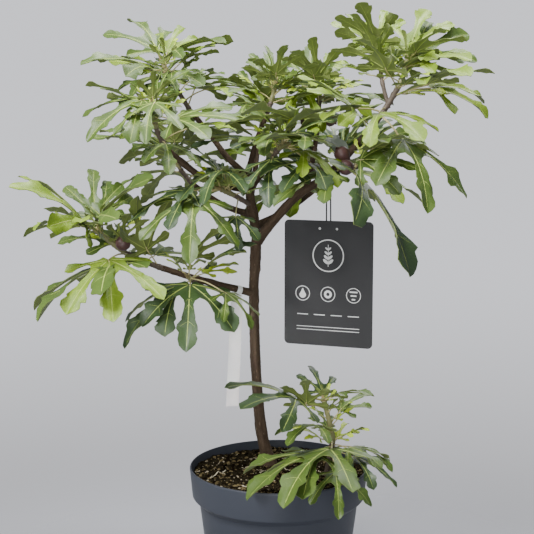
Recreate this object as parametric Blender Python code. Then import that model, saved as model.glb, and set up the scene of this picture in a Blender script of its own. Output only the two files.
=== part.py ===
"""A young fig tree in a round nursery pot, in metres, +Z up.

The origin is the middle of the pot's flat underside. The front of the tree, with its
hang tag, faces -Y. The trunk and the boughs are tapering limbs, and each mass of
foliage is one solid: a stem with twigs, leaves and figs fused on.
"""

import math
import random
from dataclasses import dataclass, field

import bmesh
import bpy
from mathutils import Matrix, Vector
from mathutils.bvhtree import BVHTree

CLEAR = 0.0003  # gap between solids that touch on the real plant
SPAN_STEPS = 2  # rings from each waypoint of a limb to the next
UP = Vector((0.0, 0.0, 1.0))

# The pot: a straight wall under a tapered rim band, with a sloping shoulder between
POT_HEIGHT = 0.165
RIM_RADIUS = 0.105
BAND_HEIGHT = 0.034
BAND_FOOT_RADIUS = 0.1015
SHOULDER_DROP = 0.007
BODY_RADIUS = 0.0935
FOOT_RADIUS = 0.078
FOOT_CHAMFER = 0.002
POT_WALL = 0.0022
POT_FLOOR = 0.003
POT_STEPS = 40
DRAIN_HOLES = 6
DRAIN_RADIUS = 0.005
DRAIN_CIRCLE = 0.055

# The compost: a plug inside the pot with a lumpy top, level where stems stand
SOIL_TOP = 0.155
SOIL_RINGS = 6
SOIL_STEPS = 32
SOIL_LUMP = 0.0022
LEVEL_RADIUS = 0.032
TRUNK_FOOT = Vector((-0.010, 0.030, SOIL_TOP + CLEAR))
SHOOT_FOOT = Vector((0.056, -0.012, SOIL_TOP + CLEAR))

# The blade of a leaf, as shares of its length from foot to middle tip
MIDDLE_WIDTH = 0.245
SIDE_ANGLE, SIDE_LENGTH, SIDE_WIDTH = 42.0, 0.86, 0.215
BASAL_ANGLE, BASAL_LENGTH = 90.0, 0.50
MIDDLE_SINUS = (20.5, 0.26)
SIDE_SINUS = (65.0, 0.20)
NOTCH = (132.0, 0.10)
SHOULDER = 0.80
CUPPING = 0.035
BLADE_THICKNESS = 0.0013
HUB_THICKNESS = 0.0026  # at the blade's foot, where the petiole ends inside
ROOT_SUNK = 0.11
ROOT_RADIUS = 0.0008
PETIOLE_SHARE = 0.0115
PETIOLE_LEAST = 0.0009
PETIOLE_SIDES = 3
DROOP = 0.75  # radians that a blade bends from foot to tip

# Leaves that follow the seeded rule
GOLDEN_ANGLE = 137.5
JITTER = 14.0
TESTED_MARGIN = 0.0010
REACHING_CROSSINGS = 44  # pairs of faces that a leaf may cross in its own mass
RULE_CROSSINGS = 6
SHIFTS = [(0, 0), (7, 0), (-7, 0), (0, 9), (0, -9), (15, 8), (-15, 8), (15, -8), (-15, -8),
          (28, 0), (-28, 0), (0, 22), (0, -22), (40, 14), (-40, 14), (55, 0), (-55, 0)]
CROWN_LOW = Vector((-0.300, -0.205, 0.060))
CROWN_HIGH = Vector((0.245, 0.215, 0.702))

# The figs, on short stalks
FIG_LENGTH = 0.019
FIG_RADIUS = 0.0085
FIG_NECK = 0.30  # share of the radius lost towards the stalk
FIG_STALK = 0.011
FIG_STALK_RADIUS = 0.0016

# The hang tag on its strap, and the narrow label
TAG_SIZE = (0.104, 0.0012, 0.143)
TAG_CORNER = 0.005
TAG_CENTRE = Vector((0.0555, -0.028, 0.385))
TAG_TURN = -20.0
STRAP_RADIUS = 0.0008
STRAP_REACH = 0.0061
STRAP_PLACE = 0.49
STRAP_LEGS = 0.005
STRAP_START, STRAP_TURNS = -30.0, 9
LABEL_WIDTH = 0.0145
LABEL_THICKNESS = 0.0006
LABEL_LENGTH = 0.138
LABEL_NECK = 0.006
LABEL_DRIFT = Vector((-0.006, -0.008))
LABEL_REACH = 0.0050
LABEL_PLACE = 0.19
LABEL_START, LABEL_STEP, LABEL_TURNS = -55.0, 30.0, 9

# Colours and finishes: base colour, roughness
FINISHES = {
    "pot_plastic": ((0.085, 0.095, 0.120), 0.45),
    "compost": ((0.030, 0.022, 0.015), 0.95),
    "bark": ((0.075, 0.055, 0.042), 0.85),
    "foliage": ((0.130, 0.210, 0.065), 0.55),
    "tag_black": ((0.035, 0.035, 0.035), 0.40),
    "strap_black": ((0.020, 0.020, 0.020), 0.50),
    "label_white": ((0.750, 0.750, 0.730), 0.55),
}


@dataclass
class Limb:
    """A tapering woody limb through a few waypoints, with its two end radii."""

    name: str
    points: list
    thick: float
    thin: float
    sides: int = 7
    swellings: list = field(default_factory=list)
    flare: float = 0.0


@dataclass
class Leaf:
    """One leaf: where it leaves its stem, which way it points and how big it is.

    Bearings are degrees in plan, 0 along +X and -90 to the front. Rises are degrees
    above level, from the foot of the blade to the tip of its middle lobe. A roll turns
    the blade about that line.
    """

    along: float
    bearing: float
    rise: float
    blade: float
    petiole: float = 0.024
    lift: float = 25.0
    swing: float = 0.0
    roll: float = 0.0
    twig: int = 0


@dataclass
class Mass:
    """A mass of foliage: its stem, its side twigs, its leaves and its figs.

    A fig is a share of the stem, a bearing and a rise. A side twig has its length as well.
    """

    name: str
    carrier: str
    points: list
    leaves: list
    more: int = 0
    seed: int = 1
    turn: float = 90.0
    spread: float = 360.0
    blade: float = 0.085
    thick: float = 0.0030
    thin: float = 0.0022
    twigs: list = field(default_factory=list)
    figs: list = field(default_factory=list)


TRUNK = Limb(
    "trunk",
    [TRUNK_FOOT, (-0.0205, 0.028, 0.200), (-0.0270, 0.025, 0.280), (-0.0290, 0.024, 0.370),
     (-0.0265, 0.022, 0.432), (-0.0320, 0.022, 0.470), (-0.0360, 0.022, 0.508)],
    thick=0.0068, thin=0.0048, sides=10, flare=0.0032,
    swellings=[(0.18, 0.0006), (0.60, 0.0010), (0.79, 0.0016), (0.97, 0.0014)],
)

BOUGHS = [
    (Limb("bough_right",
          [(-0.0250, 0.0210, 0.4290), (0.0170, 0.0000, 0.4790), (0.0550, -0.0200, 0.5070),
           (0.0740, -0.0300, 0.5280), (0.0990, -0.0400, 0.5570)],
          thick=0.0056, thin=0.0036, swellings=[(0.55, 0.0009)]), "trunk"),
    (Limb("bough_inner_right",
          [(0.0310, -0.0070, 0.4895), (0.0410, 0.0180, 0.5340), (0.0460, 0.0350, 0.5770)],
          thick=0.0032, thin=0.0027), "bough_right"),
    (Limb("spur_right",
          [(0.0620, -0.0237, 0.5130), (0.0710, -0.0380, 0.5150), (0.0780, -0.0470, 0.5160)],
          thick=0.0030, thin=0.0026), "bough_right"),
    (Limb("bough_lower_left",
          [(-0.0290, 0.0240, 0.3660), (-0.0850, 0.0000, 0.3840), (-0.1330, -0.0200, 0.4020)],
          thick=0.0042, thin=0.0034, swellings=[(0.45, 0.0006)]), "trunk"),
    (Limb("spur_low",
          [(-0.0850, 0.0000, 0.3840), (-0.0900, -0.0150, 0.3840), (-0.0950, -0.0240, 0.3860)],
          thick=0.0026, thin=0.0023), "bough_lower_left"),
    (Limb("bough_left",
          [(-0.0345, 0.0220, 0.4880), (-0.0830, 0.0020, 0.5010), (-0.1260, -0.0100, 0.5350)],
          thick=0.0042, thin=0.0033, swellings=[(0.75, 0.0006)]), "trunk"),
    (Limb("bough_high_left",
          [(-0.0355, 0.0230, 0.5030), (-0.0600, 0.0500, 0.5240), (-0.0800, 0.0650, 0.5490),
           (-0.1060, 0.0750, 0.5800)],
          thick=0.0038, thin=0.0030), "trunk"),
    (Limb("bough_top",
          [(-0.0360, 0.0220, 0.5060), (-0.0255, 0.0290, 0.5450), (-0.0140, 0.0350, 0.5730)],
          thick=0.0034, thin=0.0027), "trunk"),
    (Limb("bough_back",
          [(-0.0330, 0.0220, 0.4800), (-0.0290, 0.0650, 0.5000), (-0.0250, 0.0960, 0.5320)],
          thick=0.0038, thin=0.0030), "trunk"),
    (Limb("bough_back_left",
          [(-0.0300, 0.0230, 0.4580), (-0.0680, 0.0620, 0.4680), (-0.1050, 0.0980, 0.4900)],
          thick=0.0040, thin=0.0030), "trunk"),
    (Limb("bough_back_right",
          [(-0.0275, 0.0230, 0.4450), (0.0150, 0.0620, 0.4640), (0.0530, 0.0950, 0.4900)],
          thick=0.0042, thin=0.0031), "trunk"),
    (Limb("bough_front",
          [(-0.0300, 0.0220, 0.4930), (-0.0200, -0.0050, 0.5070), (-0.0080, -0.0240, 0.5240)],
          thick=0.0034, thin=0.0028), "trunk"),
]

MASSES = [
    Mass("foliage_upper_right", "bough_right",
         [(0.1180, -0.0400, 0.5840), (0.1340, -0.0360, 0.6120), (0.1400, -0.0350, 0.6340)],
         [Leaf(0.45, -60, 8, 0.090, 0.040, 12, 45, 20),
          Leaf(0.45, 35, -10, 0.095, 0.050, 22, -20, 35),
          Leaf(0.30, -58, -26, 0.078, 0.042, 18, -46, 10),
          Leaf(0.22, -68, -46, 0.110, 0.040, 5, 25),
          Leaf(0.05, -135, 14, 0.090, 0.030, 20, 0, -25),
          Leaf(1.00, 55, 42, 0.072, 0.014, 20),
          Leaf(0.98, -62, 18, 0.066, 0.017, 10),
          Leaf(0.95, 28, 20, 0.080, 0.014, 10, 0, 40),
          Leaf(0.85, -40, 2, 0.072, 0.016, 8, 0, 25),
          Leaf(0.55, -128, 24, 0.078, 0.040, 4, 12),
          Leaf(0.80, -130, 38, 0.064, 0.014, 8, twig=1),
          Leaf(1.00, 126, 46, 0.062, 0.015, 6, twig=1),
          Leaf(1.00, 80, 48, 0.052, 0.015, 8, twig=1)],
         more=4, seed=11, turn=20, blade=0.085, thick=0.0036, thin=0.0024,
         twigs=[(0.35, 108, 66, 0.062)]),
    Mass("foliage_right", "spur_right",
         [(0.0840, -0.0530, 0.5190), (0.0880, -0.0580, 0.5240)],
         [Leaf(0.60, -52, -54, 0.138, 0.018, 24, -48, -30),
          Leaf(0.80, -5, -8, 0.076, 0.020, 20, -85, 50)],
         more=3, seed=4, turn=-10, spread=150, blade=0.080, thick=0.0026, thin=0.0022,
         figs=[(0.24, 176, 50), (0.26, -118, 2)]),
    Mass("foliage_inner_right", "bough_inner_right",
         [(0.0470, 0.0360, 0.5900), (0.0475, 0.0330, 0.6020)],
         [Leaf(0.90, 78, 50, 0.062, 0.014, -10, 100),
          Leaf(0.70, -121, 33, 0.056, 0.026, 26),
          Leaf(0.75, -28, -26, 0.092, 0.020, 56, -150, 25),
          Leaf(0.30, -95, 10, 0.060, 0.024, 25)],
         more=5, seed=7, turn=60, blade=0.074, thick=0.0027, thin=0.0021,
         figs=[(0.23, -162, -42), (0.23, -20, -42)]),
    Mass("foliage_front", "bough_front",
         [(-0.0010, -0.0380, 0.5370), (0.0080, -0.0500, 0.5420)],
         [Leaf(0.95, -130, -6, 0.085, 0.034, 20, 75),
          Leaf(0.45, -132, 4, 0.092, 0.040, 50, 90),
          Leaf(0.80, -112, -22, 0.082, 0.036, -10, 95),
          Leaf(0.15, -95, -44, 0.072, 0.020, 40),
          Leaf(0.55, -50, -35, 0.070, 0.030, 30, 20)],
         more=4, seed=3, turn=-60, blade=0.080, thick=0.0028, thin=0.0022),
    Mass("foliage_top", "bough_top",
         [(-0.0090, 0.0360, 0.5880), (-0.0040, 0.0350, 0.6070)],
         [Leaf(1.00, 110, 56, 0.048, 0.012, 10),
          Leaf(0.95, -139, 31, 0.044, 0.012, 20),
          Leaf(0.35, -165, 12, 0.062, 0.022, 30),
          Leaf(0.60, -30, 25, 0.060, 0.018, 25)],
         more=4, seed=9, turn=40, blade=0.066, thick=0.0027, thin=0.0020),
    Mass("foliage_high_left", "bough_high_left",
         [(-0.1220, 0.0750, 0.6060), (-0.1370, 0.0700, 0.6340)],
         [Leaf(0.78, -146, 4, 0.098, 0.026, 6, 0, -20),
          Leaf(1.00, 130, 31, 0.086, 0.020, 20),
          Leaf(0.95, -36, 8, 0.082, 0.022, 30, 0, 25),
          Leaf(0.70, -112, -16, 0.074, 0.024, 12),
          Leaf(0.80, -88, -32, 0.072, 0.026, 30, 15),
          Leaf(0.10, -36, 12, 0.046, 0.034, 48)],
         more=5, seed=5, turn=70, spread=200, blade=0.080, thick=0.0030, thin=0.0022,
         figs=[(0.62, -104, 8)]),
    Mass("foliage_left", "bough_left",
         [(-0.1370, -0.0160, 0.5570), (-0.1410, -0.0200, 0.5840)],
         [Leaf(1.00, -80, 55, 0.036, 0.010, 10),
          Leaf(0.90, -150, -30, 0.088, 0.016, 70, 0, -25),
          Leaf(0.80, -103, -40, 0.070, 0.032, 62, 20),
          Leaf(0.75, -14, -4, 0.086, 0.034, 0, -30, 20),
          Leaf(0.25, -75, -30, 0.064, 0.022, 24)],
         more=4, seed=8, turn=120, spread=200, blade=0.080, thick=0.0032, thin=0.0022),
    Mass("foliage_middle_left", "trunk",
         [(-0.0325, 0.0215, 0.4700), (-0.0500, -0.0060, 0.4830), (-0.0660, -0.0280, 0.4920)],
         [Leaf(0.95, -96, -44, 0.096, 0.036, 30, -50),
          Leaf(0.70, -107, -30, 0.078, 0.034, 80),
          Leaf(0.40, -82, -50, 0.050, 0.034, 15, -13),
          Leaf(0.85, -165, -25, 0.084, 0.038, 25, 0, -30)],
         more=2, seed=6, turn=-150, spread=120, blade=0.075, thick=0.0030, thin=0.0022),
    Mass("foliage_lower_left", "bough_lower_left",
         [(-0.1700, -0.0300, 0.4190), (-0.2030, -0.0400, 0.4460)],
         [Leaf(1.00, -136, 27, 0.108, 0.020, 4, 0, -20),
          Leaf(0.92, -122, 0, 0.084, 0.034, 20),
          Leaf(1.00, 106, 48, 0.068, 0.020, 10),
          Leaf(0.95, -24, 32, 0.092, 0.018, 28, -60, 30),
          Leaf(0.08, -100, 60, 0.076, 0.026, -8, -33, 55),
          Leaf(0.50, -80, -38, 0.100, 0.056, 38, -24),
          Leaf(0.30, -132, -24, 0.130, 0.046, 26, 6)],
         more=4, seed=2, turn=150, spread=170, blade=0.085, thick=0.0034, thin=0.0024,
         figs=[(0.62, -70, 24)]),
    Mass("foliage_low_middle", "spur_low",
         [(-0.0990, -0.0300, 0.3900), (-0.1020, -0.0360, 0.3940)],
         [Leaf(0.60, -88, -38, 0.104, 0.018, 26),
          Leaf(0.40, -150, -40, 0.100, 0.016, 20),
          Leaf(0.95, -38, 36, 0.068, 0.022, 40),
          Leaf(0.80, -40, -46, 0.054, 0.056, 34)],
         more=1, seed=1, turn=30, spread=90, blade=0.070, thick=0.0023, thin=0.0020),
    Mass("foliage_back", "bough_back",
         [(-0.0210, 0.1080, 0.5560), (-0.0190, 0.1130, 0.5760)],
         [Leaf(1.00, 85, 50, 0.060, 0.016, 10)],
         more=7, seed=13, turn=100, blade=0.086),
    Mass("foliage_back_left", "bough_back_left",
         [(-0.1210, 0.1120, 0.5080), (-0.1300, 0.1180, 0.5260)],
         [Leaf(0.90, 150, 10, 0.096, 0.028, 15)],
         more=7, seed=14, turn=150, blade=0.090),
    Mass("foliage_back_right", "bough_back_right",
         [(0.0700, 0.1080, 0.5090), (0.0800, 0.1140, 0.5280)],
         [Leaf(0.90, 20, 12, 0.098, 0.030, 15)],
         more=7, seed=15, turn=30, blade=0.090,
         figs=[(0.40, 200, 20)]),
    Mass("shoot", "soil",
         [SHOOT_FOOT, (0.0600, -0.0170, 0.1850), (0.0620, -0.0200, 0.2060),
          (0.0520, -0.0210, 0.2480)],
         [Leaf(1.00, -140, 4, 0.098, 0.044, 8, 0, -25),
          Leaf(0.90, -92, 44, 0.054, 0.034, -24, -45),
          Leaf(1.00, 107, 35, 0.044, 0.010, 20),
          Leaf(1.00, -34, 12, 0.058, 0.014, 16),
          Leaf(0.72, -119, -6, 0.064, 0.046, 28),
          Leaf(0.56, -126, -16, 0.122, 0.070, 26, 30),
          Leaf(0.44, -140, -18, 0.108, 0.075, 28, 34),
          Leaf(0.40, -84, -36, 0.064, 0.080, 34, -6),
          Leaf(0.50, -52, -12, 0.056, 0.028, 18),
          Leaf(0.42, -24, -24, 0.056, 0.030, 34)],
         more=2, seed=16, turn=60, spread=160, blade=0.062, thick=0.0036, thin=0.0024),
]


def clear_scene():
    """Remove every object, so that the file can be run again."""
    for item in list(bpy.data.objects):
        bpy.data.objects.remove(item, do_unlink=True)


def finish_named(name):
    """Make a Principled material from the table of finishes."""
    colour, roughness = FINISHES[name]
    material = bpy.data.materials.new(name)
    material.use_nodes = True
    shader = material.node_tree.nodes["Principled BSDF"]
    shader.inputs["Base Color"].default_value = (*colour, 1.0)
    shader.inputs["Roughness"].default_value = roughness
    shader.inputs["Metallic"].default_value = 0.0
    return material


def add_object(name, mesh, finish=None):
    """Turn a bmesh into an object of the scene."""
    data = bpy.data.meshes.new(name)
    mesh.to_mesh(data)
    mesh.free()
    item = bpy.data.objects.new(name, data)
    bpy.context.scene.collection.objects.link(item)
    if finish:
        data.materials.append(finish_named(finish))
    return item


def drop_loose_parts(mesh):
    """Keep the largest closed shell of a bmesh, which drops scraps and sealed hollows."""
    mesh.verts.index_update()
    seen, shells = set(), []
    for start in mesh.verts:
        if start.index in seen:
            continue
        shell, waiting = [], [start]
        seen.add(start.index)
        while waiting:
            vertex = waiting.pop()
            shell.append(vertex)
            for edge in vertex.link_edges:
                other = edge.other_vert(vertex)
                if other.index not in seen:
                    seen.add(other.index)
                    waiting.append(other)
        shells.append(shell)
    largest = max(shells, key=len)
    spare = [vertex for shell in shells if shell is not largest for vertex in shell]
    bmesh.ops.delete(mesh, geom=spare, context="VERTS")


def apply_boolean(item, operation, others):
    """Join or cut an object with others by one EXACT Boolean, then remove the others."""
    group = bpy.data.collections.new(item.name + "_group")
    bpy.context.scene.collection.children.link(group)
    for other in others:
        bpy.context.scene.collection.objects.unlink(other)
        group.objects.link(other)
    modifier = item.modifiers.new("join", "BOOLEAN")
    modifier.operation = operation
    modifier.operand_type = "COLLECTION"
    modifier.collection = group
    modifier.solver = "EXACT"
    depsgraph = bpy.context.evaluated_depsgraph_get()
    mesh = bmesh.new()
    mesh.from_object(item, depsgraph)
    item.modifiers.remove(modifier)
    bmesh.ops.triangulate(mesh, faces=mesh.faces[:])
    drop_loose_parts(mesh)
    mesh.to_mesh(item.data)
    mesh.free()
    for other in others:
        bpy.data.objects.remove(other, do_unlink=True)
    bpy.data.collections.remove(group)


def heading(bearing, rise):
    """Unit vector of a bearing and a rise, both in degrees."""
    turn, tilt = math.radians(bearing), math.radians(rise)
    return Vector((math.cos(turn) * math.cos(tilt), math.sin(turn) * math.cos(tilt), math.sin(tilt)))


def curve_point(points, share):
    """A point on the smooth curve through the waypoints, share 0 to 1 of its spans."""
    spans = len(points) - 1
    place = min(share * spans, spans - 1e-9)
    index = int(place)
    t = place - index
    before, start = points[max(index - 1, 0)], points[index]
    end, after = points[index + 1], points[min(index + 2, spans)]
    return 0.5 * (2 * start + (end - before) * t
                  + (2 * before - 5 * start + 4 * end - after) * t * t
                  + (3 * start - before - 3 * end + after) * t * t * t)


def limb_stations(limb, extra=0.0):
    """Centre and radius of each ring along a limb, with an extra radius all over."""
    points = [Vector(point) for point in limb.points]
    steps = SPAN_STEPS * (len(points) - 1)
    stations = []
    for step in range(steps + 1):
        share = step / steps
        point = curve_point(points, share)
        radius = limb.thick + (limb.thin - limb.thick) * share
        radius += sum(size * math.exp(-((share - place) / 0.04) ** 2) for place, size in limb.swellings)
        radius += limb.flare * math.exp(-(point.z - points[0].z) / 0.014)
        stations.append((point, radius + extra))
    return stations


def tube(stations, sides, level_foot=False):
    """Sweep a ring of vertices through the stations and close both ends."""
    mesh = bmesh.new()
    heads = [(b[0] - a[0]).normalized() for a, b in zip(stations, stations[1:])]
    heads.append(heads[-1])
    tangents = [heads[0]] + [(a + b).normalized() for a, b in zip(heads, heads[1:])]
    if level_foot:
        tangents[0] = UP
    turn = UP.rotation_difference(tangents[0])
    places = []
    for (point, radius), before, tangent in zip(stations, [tangents[0]] + tangents, tangents):
        turn = before.rotation_difference(tangent) @ turn
        places.append(Matrix.LocRotScale(point, turn, Vector((radius, radius, radius))))
    ring = bmesh.ops.create_circle(mesh, cap_ends=True, segments=sides, radius=1.0, matrix=places[0])
    edges = list({edge for vertex in ring["verts"] for edge in vertex.link_edges})
    for last, place in zip(places, places[1:]):
        grown = bmesh.ops.extrude_edge_only(mesh, edges=edges)["geom"]
        corners = [part for part in grown if isinstance(part, bmesh.types.BMVert)]
        edges = [part for part in grown if isinstance(part, bmesh.types.BMEdge)
                 and all(vertex in corners for vertex in part.verts)]
        bmesh.ops.transform(mesh, matrix=place @ last.inverted(), verts=corners)
    bmesh.ops.holes_fill(mesh, edges=edges, sides=sides)
    bmesh.ops.recalc_face_normals(mesh, faces=mesh.faces[:])
    return mesh


def turned(profile, steps):
    """Spin a profile of (radius, height) points about the Z axis into a closed solid."""
    mesh = bmesh.new()
    corners = [mesh.verts.new((radius, 0.0, height)) for radius, height in profile]
    edges = [mesh.edges.new(pair) for pair in zip(corners, corners[1:])]
    bmesh.ops.spin(mesh, geom=corners + edges, cent=(0, 0, 0), axis=(0, 0, 1), dvec=(0, 0, 0),
                   angle=2 * math.pi, steps=steps, use_merge=True)
    bmesh.ops.remove_doubles(mesh, verts=mesh.verts[:], dist=1e-6)
    bmesh.ops.recalc_face_normals(mesh, faces=mesh.faces[:])
    return mesh


def wall_profile(inset):
    """Radius and height of the pot's wall from its foot to the band, set in by a distance."""
    band_foot = POT_HEIGHT - BAND_HEIGHT
    return [(FOOT_RADIUS - inset, 0.0), (BODY_RADIUS - inset, band_foot - SHOULDER_DROP),
            (BAND_FOOT_RADIUS - inset, band_foot), (RIM_RADIUS - inset, POT_HEIGHT)]


def wall_radius(height, inset):
    """Radius of the wall at a height, set in by a distance."""
    profile = wall_profile(inset)
    for (low_radius, low), (high_radius, high) in zip(profile, profile[1:]):
        if height <= high:
            return low_radius + (high_radius - low_radius) * (height - low) / (high - low)
    return profile[-1][0]


def build_pot():
    """The nursery pot, with drain holes through its floor."""
    outer, inner = wall_profile(0.0), wall_profile(POT_WALL)
    lip = POT_WALL * 0.35
    profile = [(0.0, 0.0), (FOOT_RADIUS - FOOT_CHAMFER, 0.0),
               (wall_radius(FOOT_CHAMFER, 0.0), FOOT_CHAMFER)]
    profile += outer[1:3]
    profile += [(wall_radius(POT_HEIGHT - lip, 0.0), POT_HEIGHT - lip),
                (RIM_RADIUS - lip, POT_HEIGHT), (RIM_RADIUS - POT_WALL, POT_HEIGHT)]
    profile += [inner[2], inner[1]]
    profile += [(wall_radius(POT_FLOOR, POT_WALL), POT_FLOOR), (0.0, POT_FLOOR)]
    pot = add_object("pot", turned(profile, POT_STEPS), "pot_plastic")
    drills = []
    for index in range(DRAIN_HOLES):
        angle = math.radians(360.0 * (index + 0.5) / DRAIN_HOLES)
        place = Matrix.Translation((DRAIN_CIRCLE * math.cos(angle), DRAIN_CIRCLE * math.sin(angle), 0.0))
        drill = bmesh.new()
        bmesh.ops.create_cone(drill, cap_ends=True, segments=10, radius1=DRAIN_RADIUS,
                              radius2=DRAIN_RADIUS, depth=4 * POT_FLOOR, matrix=place)
        drills.append(add_object(f"drill_{index}", drill))
    apply_boolean(pot, "DIFFERENCE", drills)


def soil_height(x, y):
    """Height of the compost at a point: lumpy, but level round each stem's foot."""
    lumps = (math.sin(61 * x + 17 * y) + math.sin(83 * y - 29 * x + 1.3) + math.sin(140 * x + 95 * y)) / 3
    level = 1.0
    for foot in (TRUNK_FOOT, SHOOT_FOOT):
        away = math.hypot(x - foot.x, y - foot.y)
        level = min(level, max(0.0, away / LEVEL_RADIUS - 1.0))
    return SOIL_TOP + SOIL_LUMP * lumps * level


def build_soil():
    """The compost that fills the pot up to a little below its rim."""
    inset = POT_WALL + CLEAR
    bottom = POT_FLOOR + CLEAR
    edge = wall_radius(SOIL_TOP - SOIL_LUMP, inset) - CLEAR
    profile = [(0.0, bottom), (wall_radius(bottom, inset) - CLEAR, bottom)]
    profile += [(radius - CLEAR, height) for radius, height in wall_profile(inset)[1:3]]
    profile += [(edge * ring / SOIL_RINGS, SOIL_TOP) for ring in range(SOIL_RINGS, -1, -1)]
    mesh = turned(profile, SOIL_STEPS)
    for vertex in mesh.verts:
        if vertex.co.z > SOIL_TOP - CLEAR:
            vertex.co.z = soil_height(vertex.co.x, vertex.co.y)
    return add_object("soil", mesh, "compost")


def blade_outline():
    """Angle, radius and cupping of the blade's edge, from one notch round to the other."""
    def shoulder(lobe_angle, lobe_length, lobe_width, side):
        reach = SHOULDER * lobe_length
        spread = math.degrees(math.atan2(lobe_width / 2, reach))
        return (lobe_angle + side * spread, math.hypot(reach, lobe_width / 2), CUPPING)

    right = [
        (*NOTCH, 0.0), (BASAL_ANGLE, BASAL_LENGTH, 0.0), (*SIDE_SINUS, 0.0),
        shoulder(SIDE_ANGLE, SIDE_LENGTH, SIDE_WIDTH, 1), (SIDE_ANGLE, SIDE_LENGTH, 0.0),
        shoulder(SIDE_ANGLE, SIDE_LENGTH, SIDE_WIDTH, -1), (*MIDDLE_SINUS, 0.0),
        shoulder(0.0, 1.0, MIDDLE_WIDTH, 1),
    ]
    left = [(-angle, radius, cup) for angle, radius, cup in reversed(right)]
    return right + [(0.0, 1.0, 0.0)] + left


def leaf_place(foot, leaf):
    """Matrix that puts a blade's plan, +Y to its middle tip and +Z up, where the leaf is."""
    axis = heading(leaf.bearing, leaf.rise)
    side = axis.cross(UP).normalized()
    turn = Matrix((side, axis, side.cross(axis))).transposed().to_4x4()
    roll = Matrix.Rotation(math.radians(leaf.roll), 4, "Y")
    return Matrix.Translation(foot) @ turn @ roll @ Matrix.Rotation(DROOP / 2, 4, "X")


def blade_mesh(foot, leaf, margin=0.0):
    """A lobed blade that bends down from its foot to its tips, thicker by a margin."""
    mesh = bmesh.new()
    place = leaf_place(foot, leaf)
    bend_radius = leaf.blade / DROOP
    half = BLADE_THICKNESS / 2 + margin
    outline = blade_outline()

    def bent(angle, radius, height):
        turn, theta = math.radians(angle), DROOP * radius
        out = (bend_radius + height) * math.sin(theta)
        return place @ Vector((out * math.sin(turn), out * math.cos(turn),
                               (bend_radius + height) * math.cos(theta) - bend_radius))

    faces = []
    for side in (1, -1):
        hub = side * (HUB_THICKNESS / 2 + margin)
        middle = mesh.verts.new(bent(0.0, 0.0, hub))
        rim = [mesh.verts.new(bent(angle, radius, hub if angle in (NOTCH[0], -NOTCH[0])
                                   else side * half + cup * leaf.blade))
               for angle, radius, cup in outline]
        faces.append(rim)
        for first, second in zip(rim, rim[1:] + rim[:1]):
            mesh.faces.new((middle, first, second))
    upper, lower = faces
    for index in range(len(upper)):
        following = (index + 1) % len(upper)
        mesh.faces.new((upper[index], upper[following], lower[following], lower[index]))
    bmesh.ops.triangulate(mesh, faces=[face for face in mesh.faces if len(face.verts) > 3])
    bmesh.ops.recalc_face_normals(mesh, faces=mesh.faces[:])
    return mesh


def petiole_stations(start, leaf, margin=0.0, outer=False):
    """Rings of the stalk from its stem to the blade, which it ends inside, and its foot."""
    stalk = heading(leaf.bearing + leaf.swing, leaf.rise + leaf.lift) * leaf.petiole
    foot = start + stalk
    place = leaf_place(foot, leaf)
    radius = max(PETIOLE_LEAST, PETIOLE_SHARE * leaf.blade) + margin
    behind = place @ Vector((0.0, -1.6 * NOTCH[1] * leaf.blade, 0.0))
    sunk = place @ Vector((0.0, ROOT_SUNK * leaf.blade, 0.0))
    rings = [(start, radius * 1.15), (start.lerp(behind, 0.5) + UP * leaf.petiole * 0.05, radius)]
    if outer:
        rings = rings[1:]
    return rings + [(behind, ROOT_RADIUS + margin), (sunk, ROOT_RADIUS + margin)], foot


class Space:
    """What stands where, so that a new twig, leaf or fig is tried before it is kept."""

    def __init__(self):
        self.kept = []

    def add(self, owner, mesh):
        """Remember a solid under its owner's name."""
        self.kept.append((owner, *self.extent(mesh), BVHTree.FromBMesh(mesh)))

    @staticmethod
    def extent(mesh):
        """Lowest and highest corners of a bmesh."""
        low = Vector([min(vertex.co[axis] for vertex in mesh.verts) for axis in range(3)])
        high = Vector([max(vertex.co[axis] for vertex in mesh.verts) for axis in range(3)])
        return low, high

    def contacts(self, mesh, own):
        """Whether a bmesh leaves the crown's space or meets another owner's solid, and how
        many pairs of faces it crosses among its own mass's."""
        low, high = self.extent(mesh)
        if any(low[axis] < CROWN_LOW[axis] or high[axis] > CROWN_HIGH[axis] for axis in range(3)):
            return True, 0
        tree = BVHTree.FromBMesh(mesh)
        crossings = 0
        for owner, other_low, other_high, other in self.kept:
            if any(low[axis] > other_high[axis] or other_low[axis] > high[axis] for axis in range(3)):
                continue
            pairs = len(tree.overlap(other))
            if pairs and owner != own:
                return True, 0
            crossings += pairs
        return False, crossings


def shifted(leaf, shift):
    """The same leaf with its bearing and rise moved by a few degrees."""
    bearing, rise = shift
    values = dict(leaf.__dict__)
    values["bearing"] += bearing
    values["rise"] = max(-75.0, min(78.0, leaf.rise + rise))
    return Leaf(**values)


def rule_leaves(mass):
    """Leaves by the seeded rule: up the stem by the golden angle, smaller towards its tip."""
    draw = random.Random(mass.seed)
    for index in range(mass.more):
        share = (index + 0.5) / mass.more
        fan = (GOLDEN_ANGLE * index) % 360.0 / 360.0 - 0.5
        yield Leaf(
            along=0.15 + 0.83 * share,
            bearing=mass.turn + mass.spread * fan + draw.uniform(-JITTER, JITTER),
            rise=-28.0 + 78.0 * share + draw.uniform(-JITTER, JITTER),
            blade=mass.blade * (1.12 - 0.42 * share) * draw.uniform(0.92, 1.06),
            petiole=0.034 - 0.016 * share,
            lift=draw.uniform(12.0, 40.0),
            twig=index % (1 + len(mass.twigs)),
        )


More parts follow.
